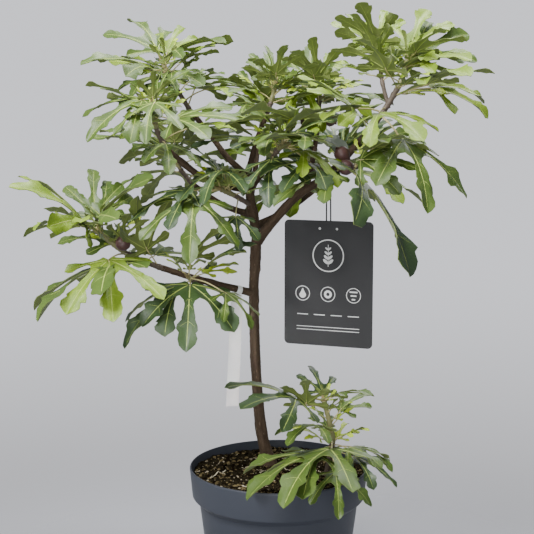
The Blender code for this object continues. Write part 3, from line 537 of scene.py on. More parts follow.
def put_piece(name: str, mesh: Mesh, materials: Sequence[bpy.types.Material],
              nodes: Sequence[str] = (), smooth: bool = True) -> bpy.types.Object:
    """Make a piece of the part, which rides on the one body.

    Args:
        name: Name of the piece.
        mesh: Its mesh, which is freed.
        materials: Its materials, in the order of the slots.
        nodes: The solids that it stands for.
        smooth: Whether its faces are shaded smooth.

    Returns:
        The object.
    """
    data = bpy.data.meshes.new(name)
    for face in mesh.faces:
        face.smooth = smooth
    mesh.to_mesh(data)
    mesh.free()
    piece = place_object(name, data)
    for material in materials:
        data.materials.append(material)
    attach(piece, BODY)
    if nodes:
        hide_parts(*nodes)
    LOG.info("%s: %d faces", name, len(data.polygons))
    return piece


class Coordinates(Enum):
    """What a finish's pattern follows."""

    OBJECT = "Object"
    SURFACE = "UV"


def add_nodes(tree: bpy.types.NodeTree, *kinds: str) -> list[bpy.types.Node]:
    """Add shader nodes to a tree, one of each kind in turn, and return them."""
    return [tree.nodes.new(f"ShaderNode{kind}") for kind in kinds]


def fill(node: bpy.types.Node, values: dict) -> None:
    """Set a node's inputs, each by its label or its number."""
    for label, value in values.items():
        node.inputs[label].default_value = value


def wire(tree: bpy.types.NodeTree, *pairs: tuple) -> None:
    """Link nodes, each link as a node, its output, another node and its input."""
    for source, out, target, into in pairs:
        tree.links.new(source.outputs[out], target.inputs[into])


@dataclass
class PatternLibrary:
    """The node groups that more than one finish uses, and the materials, each built once."""

    groups: dict[str, bpy.types.NodeTree] = field(default_factory=dict)
    materials: dict[str, bpy.types.Material] = field(default_factory=dict)
    detail: float = 4.0
    fine_share: float = 0.4

    def start(self, name: str, inputs: dict[str, str], outputs: dict[str, str]) -> tuple:
        """Make an empty group with its sockets.

        Args:
            name: Name of the group.
            inputs: Socket type of each input.
            outputs: Socket type of each output.

        Returns:
            The group, its input node and its output node.
        """
        group = bpy.data.node_groups.new(name, "ShaderNodeTree")
        for way, sockets in (("INPUT", inputs), ("OUTPUT", outputs)):
            for label, kind in sockets.items():
                group.interface.new_socket(name=label, in_out=way,
                                           socket_type=f"NodeSocket{kind}")
        self.groups[name] = group
        return group, group.nodes.new("NodeGroupInput"), group.nodes.new("NodeGroupOutput")

    def mottle(self) -> bpy.types.NodeTree:
        """The group that mixes two colours by noise, with a height and a roughness."""
        if "mottle" in self.groups:
            return self.groups["mottle"]
        group, given, made = self.start(
            "mottle",
            {"Place": "Vector", "Dark": "Color", "Light": "Color", "Scale": "Float",
             "Fine Scale": "Float", "Contrast": "Float", "Smoothest": "Float",
             "Roughest": "Float"},
            {"Color": "Color", "Roughness": "Float", "Height": "Float"})
        coarse, fine, both, colour, low, high, spread, rough = add_nodes(
            group, "TexNoise", "TexNoise", "Mix", "Mix", "Math", "Math", "MapRange", "MapRange")
        for texture in (coarse, fine):
            fill(texture, {"Detail": self.detail})
        fill(both, {"Factor": self.fine_share})
        for node, factor in ((low, -0.5), (high, 0.5)):
            node.operation = "MULTIPLY_ADD"
            fill(node, {1: factor, 2: 0.5})
        colour.data_type = "RGBA"
        wire(group, (given, "Place", coarse, "Vector"), (given, "Scale", coarse, "Scale"),
             (given, "Place", fine, "Vector"), (given, "Fine Scale", fine, "Scale"),
             (coarse, "Fac", both, "A"), (fine, "Fac", both, "B"),
             (given, "Contrast", low, 0), (given, "Contrast", high, 0),
             (both, "Result", spread, "Value"), (low, "Value", spread, "From Min"),
             (high, "Value", spread, "From Max"), (spread, "Result", colour, "Factor"),
             (given, "Dark", colour, "A"), (given, "Light", colour, "B"),
             (fine, "Fac", rough, "Value"), (given, "Smoothest", rough, "To Min"),
             (given, "Roughest", rough, "To Max"), (colour, "Result", made, "Color"),
             (rough, "Result", made, "Roughness"), (fine, "Fac", made, "Height"))
        return group

    def specks(self) -> bpy.types.NodeTree:
        """The group that puts small round specks of a second colour over a first."""
        if "specks" in self.groups:
            return self.groups["specks"]
        group, given, made = self.start(
            "specks",
            {"Place": "Vector", "Color": "Color", "Speck": "Color", "Scale": "Float",
             "Reach": "Float"},
            {"Color": "Color"})
        cells, inside, colour = add_nodes(group, "TexVoronoi", "Math", "Mix")
        inside.operation, colour.data_type = "LESS_THAN", "RGBA"
        wire(group, (given, "Place", cells, "Vector"), (given, "Scale", cells, "Scale"),
             (cells, "Distance", inside, 0), (given, "Reach", inside, 1),
             (inside, "Value", colour, "Factor"), (given, "Color", colour, "A"),
             (given, "Speck", colour, "B"), (colour, "Result", made, "Color"))
        return group


PATTERNS = PatternLibrary()


@dataclass(frozen=True)
class Finish:
    """A finish: two colours that mottle, how rough and bumpy it is, and its specks."""

    name: str
    dark: Colour
    light: Colour
    scale: float = 60.0
    fine: float = 400.0
    contrast: float = 0.5
    smoothest: float = 0.45
    roughest: float = 0.6
    bump: float = 0.15
    depth: float = 0.0004
    stretch: tuple[float, float, float] = (1.0, 1.0, 1.0)
    follows: Coordinates = Coordinates.OBJECT
    speck: Optional[Colour] = None
    speck_scale: float = 500.0
    speck_reach: float = 0.2
    sheen: float = 0.0
    specular: float = 0.5

    def build(self) -> bpy.types.Material:
        """The material, which is made once."""
        if self.name in PATTERNS.materials:
            return PATTERNS.materials[self.name]
        material = bpy.data.materials.new(self.name)
        PATTERNS.materials[self.name] = material
        material.use_nodes = True
        tree = material.node_tree
        shader = tree.nodes["Principled BSDF"]
        where, turn, bump, mottle = add_nodes(tree, "TexCoord", "Mapping", "Bump", "Group")
        mottle.node_tree = PATTERNS.mottle()
        fill(mottle, {"Dark": (*self.dark, 1.0), "Light": (*self.light, 1.0),
                      "Scale": self.scale, "Fine Scale": self.fine, "Contrast": self.contrast,
                      "Smoothest": self.smoothest, "Roughest": self.roughest})
        fill(turn, {"Scale": self.stretch})
        fill(bump, {"Strength": self.bump, "Distance": self.depth})
        fill(shader, {"Sheen Weight": self.sheen, "Specular IOR Level": self.specular})
        coloured = mottle
        if self.speck:
            coloured, = add_nodes(tree, "Group")
            coloured.node_tree = PATTERNS.specks()
            fill(coloured, {"Speck": (*self.speck, 1.0), "Scale": self.speck_scale,
                            "Reach": self.speck_reach})
            wire(tree, (turn, "Vector", coloured, "Place"), (mottle, "Color", coloured, "Color"))
        wire(tree, (where, self.follows.value, turn, "Vector"), (turn, "Vector", mottle, "Place"),
             (coloured, "Color", shader, "Base Color"), (mottle, "Roughness", shader, "Roughness"),
             (mottle, "Height", bump, "Height"), (bump, "Normal", shader, "Normal"))
        return material


LEAF_LOOK = dict(scale=34.0, fine=520.0, contrast=0.42, smoothest=0.38, roughest=0.54,
                 bump=0.35, depth=0.0005, specular=0.4)
LEAF_TOPS = {
    Tint.YOUNG: Finish("leaf_young", (0.24, 0.36, 0.012), (0.42, 0.52, 0.03), **LEAF_LOOK),
    Tint.FRESH: Finish("leaf_fresh", (0.082, 0.148, 0.006), (0.205, 0.3, 0.018), **LEAF_LOOK),
    Tint.MID: Finish("leaf_mid", (0.034, 0.07, 0.008), (0.086, 0.138, 0.018), **LEAF_LOOK),
    Tint.DEEP: Finish("leaf_deep", (0.014, 0.035, 0.009), (0.04, 0.075, 0.018), **LEAF_LOOK),
}
LEAF_UNDER = Finish("leaf_underside", (0.11, 0.15, 0.026), (0.18, 0.225, 0.05),
                    scale=70.0, fine=600.0, smoothest=0.65, roughest=0.8, bump=0.3, sheen=0.1)
VEIN = Finish("leaf_vein", (0.24, 0.315, 0.06), (0.37, 0.44, 0.105), smoothest=0.5,
              specular=0.3)
PETIOLE = Finish("leaf_stalk", (0.33, 0.33, 0.11), (0.47, 0.39, 0.19), scale=40.0)
GREEN_WOOD = Finish("green_twig", (0.15, 0.16, 0.06), (0.23, 0.21, 0.09), scale=90.0)
YOUNG_BARK = Finish("young_bark", (0.065, 0.046, 0.034), (0.135, 0.1, 0.07),
                    scale=120.0, fine=900.0, roughest=0.8, speck=(0.3, 0.25, 0.19),
                    speck_scale=420.0, speck_reach=0.14)
BUD = Finish("bud", (0.14, 0.12, 0.045), (0.33, 0.25, 0.105), scale=150.0)
BARK = Finish("ridged_bark", (0.03, 0.019, 0.012), (0.12, 0.084, 0.056), scale=140.0, fine=900.0,
              contrast=0.45, smoothest=0.7, roughest=0.9, bump=0.7, depth=0.0008,
              stretch=(1.0, 0.35, 1.0), follows=Coordinates.SURFACE, specular=0.1,
              speck=(0.21, 0.15, 0.095), speck_scale=260.0, speck_reach=0.13)
FIG_SKIN = Finish("fig_skin", (0.045, 0.018, 0.02), (0.115, 0.055, 0.045), scale=110.0,
                  fine=700.0, smoothest=0.38, roughest=0.55, speck=(0.22, 0.16, 0.11),
                  speck_scale=900.0, speck_reach=0.12)
FIG_NECK = Finish("fig_neck", (0.12, 0.13, 0.045), (0.19, 0.18, 0.08), scale=110.0)
POT_PLASTIC = Finish("pot_plastic", (0.032, 0.036, 0.047), (0.044, 0.049, 0.062), scale=18.0,
                     fine=700.0, contrast=0.9, smoothest=0.4, roughest=0.52, bump=0.12,
                     depth=0.0003, specular=0.3)
COMPOST = Finish("moist_compost", (0.006, 0.005, 0.003), (0.034, 0.027, 0.015), scale=220.0,
                 fine=1100.0, contrast=0.35, smoothest=0.85, roughest=0.98, bump=0.9,
                 depth=0.0012, speck=(0.22, 0.18, 0.09), speck_scale=420.0, speck_reach=0.11,
                 specular=0.0)
CRUMB_DARK = Finish("crumb_dark", (0.003, 0.002, 0.001), (0.016, 0.01, 0.006), roughest=0.95,
                    specular=0.0)
CRUMB_BROWN = Finish("crumb_brown", (0.06, 0.044, 0.02), (0.23, 0.18, 0.09), roughest=0.9,
                     specular=0.0)
CRUMB_PALE = Finish("crumb_pale", (0.3, 0.24, 0.15), (0.52, 0.45, 0.32), roughest=0.9)
STRAW = Finish("straw", (0.48, 0.42, 0.28), (0.64, 0.58, 0.42), roughest=0.8)
TAG_CARD = Finish("tag_card", (0.018, 0.018, 0.019), (0.024, 0.024, 0.025), scale=30.0,
                  fine=900.0, smoothest=0.45, roughest=0.55, bump=0.05, specular=0.3)
TAG_INK = Finish("tag_ink", (0.56, 0.56, 0.55), (0.64, 0.64, 0.63), smoothest=0.5)
STRAP = Finish("strap_thread", (0.012, 0.012, 0.012), (0.022, 0.022, 0.022), smoothest=0.5)
PAPER = Finish("label_paper", (0.9, 0.895, 0.88), (0.93, 0.925, 0.91), scale=25.0,
               fine=1200.0, contrast=0.9, smoothest=0.55, roughest=0.65, bump=0.08)
FLOOR_COLOUR = (0.23, 0.235, 0.253)


@dataclass(frozen=True)
class Lobe:
    """A lobe of a leaf in plan: its angle, its length, its half width and its teeth a side."""

    angle: float
    length: float
    half: float
    teeth: int


@dataclass
class LeafPattern:
    """The plan of a leaf, one unit long, with its strap-like lobes, teeth and veins."""

    seed: int
    name: str
    lobes: tuple = (Lobe(86.0, 0.5, 0.062, 1), Lobe(42.0, 0.88, 0.094, 2),
                    Lobe(0.0, 1.0, 0.104, 2), Lobe(-42.0, 0.88, 0.094, 2),
                    Lobe(-86.0, 0.5, 0.062, 1))
    valleys: tuple = ((138.0, 0.08), (66.0, 0.195), (21.5, 0.275), (-21.5, 0.275),
                      (-66.0, 0.195), (-138.0, 0.08))
    root_rows: int = 3
    neck_rows: int = 5
    columns: int = 3
    thickness: float = 0.0055
    neck: float = 0.46
    widens: Pair = (0.36, 0.78)
    toothed: Pair = (0.44, 0.93)
    tooth_rows: tuple = ((0.12, -0.3), (0.5, 0.75), (0.84, 0.8))
    tooth: float = 0.3
    tooth_sizes: Pair = (0.45, 1.2)
    first_tooth: float = 1.25
    later_tooth: float = 0.8
    tooth_lean: float = 0.35
    sinus_fade: float = 0.18
    rib_start: float = 0.36
    rib_crowd: float = 1.4
    side_vein: tuple = ((0.0, 0.0), (0.02, 0.0042), (1 / 3, 0.004), (2 / 3, 0.0032), (0.94, 0.0))
    rib_steps: int = 12
    rib_thick: float = 0.0105
    rib_taper: float = 0.55
    fold: float = 0.34
    flatter: float = 0.35
    wave: float = 0.03
    wave_rate: float = 11.0
    wave_offset: float = 2.1
    wavy: Pair = (0.22, 0.6)
    widest_share: float = 1.3
    quilt: float = 0.004
    quilt_rate: float = 22.0
    sag: float = 0.15
    sag_start: float = 0.3
    twist: float = 0.3
    sharp: float = 0.7
    draw: random.Random = field(init=False)
    sags: list = field(init=False)
    twists: list = field(init=False)
    phases: list = field(init=False)

    def __post_init__(self) -> None:
        """Vary the lobes a little, by the seed."""
        self.draw = random.Random(self.seed)
        self.lobes = tuple(
            Lobe(lobe.angle + self.draw.uniform(-5, 5), lobe.length * self.draw.uniform(0.9, 1.0),
                 lobe.half * self.draw.uniform(0.82, 1.12), lobe.teeth) for lobe in self.lobes)
        self.valleys = tuple((angle, radius * self.draw.uniform(0.85, 1.15))
                             for angle, radius in self.valleys)
        self.sags = [self.draw.uniform(-0.5, 1.0) * self.sag for _ in self.lobes]
        self.twists = [self.draw.uniform(-1.0, 1.0) * self.twist for _ in self.lobes]
        self.phases = [self.draw.uniform(0, 2 * math.pi) for _ in self.lobes]

    @staticmethod
    def axes(lobe: Lobe) -> tuple[Vector, Vector]:
        """The way along a lobe and the way across it, towards larger angles."""
        turn = math.radians(lobe.angle)
        return (Vector((math.sin(turn), math.cos(turn), 0.0)),
                Vector((math.cos(turn), -math.sin(turn), 0.0)))

    def half_width(self, lobe: Lobe, share: float) -> float:
        """Half the width of a lobe, without its teeth, at a share of its length."""
        start, widest = self.widens
        width = lobe.half * (self.neck + (1 - self.neck) * eased(share, start, widest))
        past = max(0.0, (share - widest) / (1.0 - widest))
        return width * max(0.0, 1.0 - past ** 2.2) ** 0.6

    def free_rows(self, lobe: Lobe) -> list[Pair]:
        """Rows past the sinus: how far along the free edge, and how much of a tooth."""
        start, end = self.toothed
        rows = [(start * (step + 1) / self.neck_rows, 0.0) for step in range(self.neck_rows)]
        for tooth in range(lobe.teeth):
            rows += [(start + (end - start) * (tooth + phase) / lobe.teeth, bite)
                     for phase, bite in self.tooth_rows]
        return rows + [(0.5 + 0.5 * end, 0.0), (1.0, 0.0)]

    def half_lobe(self, lobe: Lobe, valley: Pair, other: Pair) -> Map:
        """The map of one half of a lobe.

        Args:
            lobe: The lobe.
            valley: Angle and radius of the sinus on this side.
            other: Angle and radius of the sinus on the other side.

        Returns:
            A function from a share along and a share across to a place in plan.
        """
        free = self.free_rows(lobe)
        rows = self.root_rows + len(free)
        along_axis, across_axis = self.axes(lobe)
        away, far = (math.radians(sinus[0] - lobe.angle) for sinus in (valley, other))
        side = 1.0 if away > 0 else -1.0
        start_along = valley[1] * math.cos(away)
        start_across = valley[1] * abs(math.sin(away))
        start_rib = self.rib_start * (start_along + other[1] * math.cos(far))
        at_start = self.half_width(lobe, start_along / lobe.length)
        sizes = [self.draw.uniform(*self.tooth_sizes)
                 * (self.later_tooth if tooth else self.first_tooth)
                 for tooth in range(lobe.teeth + 1)]

        def place(share: float, across: float) -> Vector:
            row = round(share * rows)
            if row <= self.root_rows:
                part = row / self.root_rows
                edge_along, edge_across = start_along * part, start_across * part
                rib = start_rib * part
            else:
                row -= self.root_rows + 1
                part, bite = free[row]
                bite *= self.tooth * lobe.half * sizes[max(0, row - self.neck_rows) // 3]
                edge_along = start_along + (lobe.length - start_along) * part
                width = self.half_width(lobe, edge_along / lobe.length)
                fade = max(0.0, 1.0 - part / self.sinus_fade) ** 2
                edge_across = width + (start_across - at_start) * fade + bite
                edge_along += self.tooth_lean * bite
                rib = start_rib + (lobe.length - start_rib) * part ** self.rib_crowd
            edge = along_axis * edge_along + across_axis * side * edge_across
            return (along_axis * rib).lerp(edge, across)

        return place

    def rib_width(self, share: float) -> float:
        """Half the width of a rib at a share of its length."""
        return self.rib_thick * (1.0 - self.rib_taper * share) if 0.0 < share < 1.0 else 0.0

    def vein(self, path: Sequence[tuple[Vector, float]]) -> Mesh:
        """A vein that stands out of both sides of the blade, from points and half widths."""
        return swept(path, 4, out=UP.cross(path[-1][0] - path[0][0]))

    def build(self) -> bpy.types.Mesh:
        """Make the blade and its veins, with the blade's folds.

        Returns:
            The mesh: slot 0 is the upper side, 1 the underside and 2 the veins.
        """
        sheet, veins = bmesh.new(), bmesh.new()
        for index, lobe in enumerate(self.lobes):
            pair = (self.valleys[index], self.valleys[index + 1])
            rows = self.root_rows + len(self.free_rows(lobe))
            first_tooth = self.root_rows + self.neck_rows + 3
            along_axis, _ = self.axes(lobe)
            for valley, other in (pair, pair[::-1]):
                place = self.half_lobe(lobe, valley, other)
                append_mesh(sheet, mapped_grid(rows, self.columns, place))
                for row in (self.root_rows + 2, self.root_rows + 4,
                            *range(first_tooth, rows - 2, 3)):
                    append_mesh(veins, self.vein([(place(row / rows, at), width)
                                                  for at, width in self.side_vein]))
            append_mesh(veins, self.vein([(along_axis * lobe.length * at, self.rib_width(at))
                                          for at in (step / self.rib_steps
                                                     for step in range(self.rib_steps + 1))]))
        bmesh.ops.remove_doubles(sheet, verts=sheet.verts[:], dist=1e-5)
        bmesh.ops.recalc_face_normals(sheet, faces=sheet.faces[:])
        if sum(face.normal.z for face in sheet.faces) < 0:
            bmesh.ops.reverse_faces(sheet, faces=sheet.faces[:])
        bmesh.ops.solidify(sheet, geom=sheet.faces[:], thickness=self.thickness)
        middle = sum(vertex.co.z for vertex in sheet.verts) / len(sheet.verts)
        for vertex in sheet.verts:
            vertex.co.z -= middle
        for face in sheet.faces:
            face.material_index = 0 if face.normal.z > 0.5 else 1
        for edge in sheet.edges:
            edge.smooth = edge.calc_face_angle(0.0) < self.sharp
        append_mesh(sheet, veins, 2)
        for vertex in sheet.verts:
            vertex.co.z += self.relief(vertex.co.x, vertex.co.y)
        made = bpy.data.meshes.new(self.name)
        sheet.to_mesh(made)
        sheet.free()
        return made

    def relief(self, x: float, y: float) -> float:
        """Height of the blade over its plan: folded at each rib, wavy, twisted and sagging.

        Args:
            x: Place in plan, to the right.
            y: Place in plan, towards the middle tip.

        Returns:
            The height, as a share of the blade's length.
        """
        at = Vector((x, y, 0.0))
        if at.length < 1e-6:
            return 0.0
        nearest = None
        for index, lobe in enumerate(self.lobes):
            along_axis, across_axis = self.axes(lobe)
            along, across = at.dot(along_axis), at.dot(across_axis)
            off = abs(across) if along > 0 else at.length
            if nearest is None or off < nearest[0]:
                nearest = (off, along, across, index)
        off, along, across, index = nearest
        outer = eased(along, *self.wavy)
        share = min(self.widest_share, off / self.lobes[index].half)
        side = self.wave_offset if across > 0 else 0.0
        wave = self.wave * math.sin(self.wave_rate * along + self.phases[index] + side)
        wave *= share ** 2
        quilt = self.quilt * abs(math.sin(self.quilt_rate * (along - 0.5 * off)))
        quilt *= min(1.0, 2.0 * share)
        sag = self.sags[index] * max(0.0, along - self.sag_start) ** 2
        twist = self.twists[index] * across
        fold = self.fold * off * (1.0 - self.flatter * share)
        return fold + (wave + quilt + twist) * outer - sag


@dataclass
class LeafShop:
    """Keeps the leaf patterns and lays copies of them where leaves grow."""

    seeds: Sequence[int] = range(1, 7)
    young_seeds: Sequence[int] = range(21, 24)
    young_lobes: tuple = (Lobe(80.0, 0.36, 0.045, 1), Lobe(36.0, 0.82, 0.07, 2),
                          Lobe(0.0, 1.0, 0.08, 2), Lobe(-36.0, 0.82, 0.07, 2),
                          Lobe(-80.0, 0.36, 0.045, 1))
    young_valleys: tuple = ((128.0, 0.05), (58.0, 0.14), (18.0, 0.22), (-18.0, 0.22),
                            (-58.0, 0.14), (-128.0, 0.05))
    young_columns: int = 2
    young_sag: float = 0.08
    roll: float = 14.0
    droops: Pair = (0.85, 1.15)
    patterns: list = field(init=False)
    young: list = field(init=False)

    def __post_init__(self) -> None:
        """Build the patterns."""
        self.patterns = [LeafPattern(seed, f"leaf_plan_{seed}").build() for seed in self.seeds]
        self.young = [LeafPattern(seed, f"young_leaf_plan_{seed}", self.young_lobes,
                                  self.young_valleys, columns=self.young_columns,
                                  sag=self.young_sag).build() for seed in self.young_seeds]

    @staticmethod
    def bent(point: Vector, blade: float, droop: float) -> Vector:
        """Bend a point of a pattern down round the blade's foot.

        Args:
            point: A place in the pattern.
            blade: Length of the blade.
            droop: Radians of bend from foot to tip.

        Returns:
            The place in the blade's own axes, in metres.
        """
        radius, turn = math.hypot(point.x, point.y), math.atan2(point.x, point.y)
        out = (1.0 / droop + point.z) * math.sin(droop * radius)
        height = (1.0 / droop + point.z) * math.cos(droop * radius) - 1.0 / droop
        return Vector((out * math.sin(turn), out * math.cos(turn), height)) * blade

    def lay(self, whole: Mesh, foot: Vector, leaf: Leaf, top_slot: int,
            draw: random.Random, young: bool = False) -> None:
        """Lay one leaf.

        Args:
            whole: The mesh of leaves that it joins.
            foot: Foot of the blade.
            leaf: The leaf.
            top_slot: Material slot of its upper side.
            draw: Draws its pattern, its roll and its droop.
            young: Whether it takes a young leaf's pattern.
        """
        pattern = draw.choice(self.young if young else self.patterns)
        roll = draw.uniform(-self.roll, self.roll)
        droop = DROOP * draw.uniform(*self.droops)
        place = blade_place(foot, leaf, droop) @ Matrix.Rotation(math.radians(roll), 4, "Y")
        first_vertex, first_face = len(whole.verts), len(whole.faces)
        whole.from_mesh(pattern)
        whole.verts.ensure_lookup_table()
        whole.faces.ensure_lookup_table()
        for vertex in whole.verts[first_vertex:]:
            vertex.co = place @ self.bent(vertex.co, leaf.blade, droop)
        for face in whole.faces[first_face:]:
            face.smooth = True
            face.material_index = (top_slot, UNDER_SLOT, VEIN_SLOT)[face.material_index]


TOP_SLOTS = {tint: index for index, tint in enumerate(Tint)}
UNDER_SLOT, VEIN_SLOT = len(Tint), len(Tint) + 1


def blade_place(foot: Vector, leaf: Leaf, droop: float = DROOP) -> Matrix:
    """Matrix of a blade: +Y of its plan to the middle tip and +Z up.

    Args:
        foot: Foot of the blade.
        leaf: The leaf.
        droop: Radians of bend, half of which is turned back at the foot.

    Returns:
        The matrix.
    """
    axis = heading(leaf.bearing, leaf.rise)
    side = axis.cross(UP).normalized()
    turn = Matrix((side, axis, side.cross(axis))).transposed().to_4x4()
    roll = Matrix.Rotation(math.radians(leaf.roll), 4, "Y")
    return Matrix.Translation(foot) @ turn @ roll @ Matrix.Rotation(droop / 2, 4, "X")


def blade_foot(start: Vector, leaf: Leaf) -> Vector:
    """Where a leaf's stalk ends and its blade starts."""
    return start + heading(leaf.bearing + leaf.swing, leaf.rise + leaf.lift) * leaf.petiole


@dataclass(frozen=True)
class Growth:
    """How leaves follow each other up a stem: the value at its foot and the change to its tip."""

    seed: int
    along: Pair
    rise: Pair
    blade: Pair
    petiole: Pair
    sizes: Pair
    lifts: Pair
    fanned: bool

    def bearing(self, mass: Mass, index: int) -> float:
        """Bearing of a leaf before its jitter, by the golden angle."""
        if self.fanned:
            fan = (GOLDEN_ANGLE * index) % 360.0 / 360.0 - 0.5
            return mass.turn + mass.spread * fan
        return mass.turn + GOLDEN_ANGLE * index

    def leaves(self, mass: Mass, count: int) -> Iterator[Leaf]:
        """Leaves by the seeded rule, smaller and steeper towards the tip.

        Args:
            mass: The mass that they fill.
            count: How many there are.

        Returns:
            The leaves, in order.
        """
        draw = random.Random(self.seed + mass.seed)
        for index in range(count):
            share = (index + 0.5) / count
            along, rise, blade, petiole = (
                foot + change * share
                for foot, change in (self.along, self.rise, self.blade, self.petiole))
            yield Leaf(
                along=along,
                bearing=self.bearing(mass, index) + draw.uniform(-JITTER, JITTER),
                rise=rise + draw.uniform(-JITTER, JITTER),
                blade=mass.blade * blade * draw.uniform(*self.sizes),
                petiole=petiole,
                lift=draw.uniform(*self.lifts),
                twig=index % (1 + len(mass.twigs)),
            )


GROWN = Growth(seed=0, along=(0.15, 0.83), rise=(-28.0, 78.0), blade=(1.12, -0.42),
               petiole=(0.034, -0.016), sizes=(0.92, 1.06), lifts=(12.0, 40.0), fanned=True)
YOUNG = Growth(seed=100, along=(0.45, 0.54), rise=(4.0, 62.0), blade=(0.74, -0.44),
               petiole=(0.02, -0.013), sizes=(0.85, 1.1), lifts=(0.0, 16.0), fanned=False)


@dataclass
class Bark:
    """Trunk and boughs, with ridges, ring scars and knots in their surface."""

    step: float = 0.0012
    sides: int = 26
    ridge: float = 0.00028
    grit: float = 0.00014
    ring: float = 0.00042
    ring_gap: float = 0.021
    ring_gaps: Pair = (0.55, 1.35)
    ring_reach: float = 0.0011
    ring_mean: float = 0.65
    knot: float = 0.0011
    knot_gap: float = 0.045
    knot_reach: float = 0.0032
    full_at: float = 0.006
    girth_scale: float = 2.2
    ridge_scale: float = 55.0
    grit_scale: float = 620.0
    grit_girth: float = 3.0
    least_steps: int = 6
    swelling_reach: float = 0.04
    flare_height: float = 0.014
    collar_reach: float = 0.009
    collar: float = 0.35
    sunk: float = 0.003
    sunk_girth: float = 1.1

    def stations(self, limb: Limb, collar: float) -> list[Station]:
        """Centres and radii along a limb.

        Args:
            limb: The limb.
            collar: Extra radius where it leaves what bears it.

        Returns:
            The stations, about one step apart.
        """
        points = [Vector(point) for point in limb.points]
        steps = max(self.least_steps, round(length_of(points) / self.step))
        made, done, last = [], 0.0, points[0]
        for step in range(steps + 1):
            share = step / steps
            point = curve_point(points, share)
            done += (point - last).length
            last = point
            radius = limb.thick + (limb.thin - limb.thick) * share
            radius += sum(size * bell(share - place, self.swelling_reach)
                          for place, size in limb.swellings)
            radius += limb.flare * math.exp(-(point.z - points[0].z) / self.flare_height)
            radius += collar * math.exp(-done / self.collar_reach)
            made.append((point, radius))
        return made

    def relief(self, seed: int, length: float, thick: float) -> Relief:
        """The relief of one limb's bark.

        Args:
            seed: Tells limbs apart.
            length: Length of the limb.
            thick: Its thick end's radius, which the relief is in step with.

        Returns:
            Extra radius for an angle and a distance along.
        """
        draw = random.Random(seed)
        rings, place = [], draw.uniform(0.2, 1.0) * self.ring_gap
        while place < length:
            rings.append((place, draw.uniform(0, 2 * math.pi), draw.uniform(0.5, 1.0)))
            place += self.ring_gap * draw.uniform(*self.ring_gaps)
        knots = [(draw.uniform(0.05, 0.95) * length, draw.uniform(0, 2 * math.pi),
                  draw.uniform(0.4, 1.0)) for _ in range(int(length / self.knot_gap))]
        size = min(1.0, thick / self.full_at)

        def extra(angle: float, along: float) -> float:
            around = Vector((math.cos(angle), math.sin(angle), 0.0)) * self.girth_scale
            coarse = noise.noise(around + Vector((seed, seed, along * self.ridge_scale)))
            fine = noise.noise(around * self.grit_girth
                               + Vector((seed, 0.0, along * self.grit_scale)))
            total = self.ridge * coarse * 2.0 + self.grit * fine * 2.0
            for at, turn, share in rings:
                side = self.ring_mean + (1 - self.ring_mean) * math.cos(angle - turn)
                total += self.ring * share * side * bell(along - at, self.ring_reach)
            for at, turn, share in knots:
                off = 2 * math.sin((angle - turn) / 2) * thick
                away = (along - at) ** 2 + off ** 2
                total += self.knot * share * math.exp(-away / self.knot_reach ** 2)
            return total * size

        return extra

    def build(self) -> None:
        """Make the trunk and each bough as a piece of its own."""
        material = BARK.build()
        for index, limb in enumerate([TRUNK, *BOUGHS]):
            collar = 0.0 if limb is TRUNK else self.collar * limb.thick
            path = self.stations(limb, collar)
            if limb is TRUNK:
                foot, radius = path[0]
                path.insert(0, (foot - UP * self.sunk, radius * self.sunk_girth))
            length = length_of([centre for centre, _ in path])
            mesh = swept(path, self.sides, self.relief(index + 1, length, limb.thick))
            put_piece(f"{limb.name}_bark", mesh, [material], [limb.name])


@dataclass
class Fig:
    """A small pear-shaped fig with its eye and its stalk."""

    length: float = 0.019
    radius: float = 0.0085
    stalk: float = 0.011
    stalk_radius: float = 0.0013
    rib: float = 0.00016
    ribs: int = 9
    sides: int = 18
    stalk_sides: int = 10
    sunk: float = 0.35
    profile: tuple = ((-0.62, 0.2), (-0.5, 0.34), (-0.36, 0.56), (-0.2, 0.8), (0.0, 0.97),
                      (0.16, 1.0), (0.3, 0.92), (0.42, 0.68), (0.48, 0.4), (0.495, 0.24),
                      (0.485, 0.16), (0.5, 0.1))

    def centre(self, start: Vector, axis: Vector) -> Vector:
        """Centre of a fruit whose stalk leaves its stem at a point, along an axis."""
        return start + axis * (self.stalk + self.length * self.sunk)

    def build(self, whole: Mesh, start: Vector, axis: Vector) -> None:
        """Add a fig to a mesh: slot 0 is skin, 1 neck and stalk.

        Args:
            whole: The mesh of figs.
            start: Where the stalk leaves its stem.
            axis: The way that it points.
        """
        centre = self.centre(start, axis)
        path = [(centre + axis * along * self.length, girth * self.radius)
                for along, girth in self.profile]
        body = swept(path, self.sides, lambda angle, _: self.rib * math.cos(self.ribs * angle))
        append_mesh(whole, body, 0)
        stalk = [(start, self.stalk_radius * 1.3), (start.lerp(centre, 0.3), self.stalk_radius),
                 (centre - axis * 0.55 * self.length, self.radius * 0.3),
                 (centre - axis * 0.4 * self.length, self.radius * 0.45)]
        append_mesh(whole, swept(stalk, self.stalk_sides), 1)


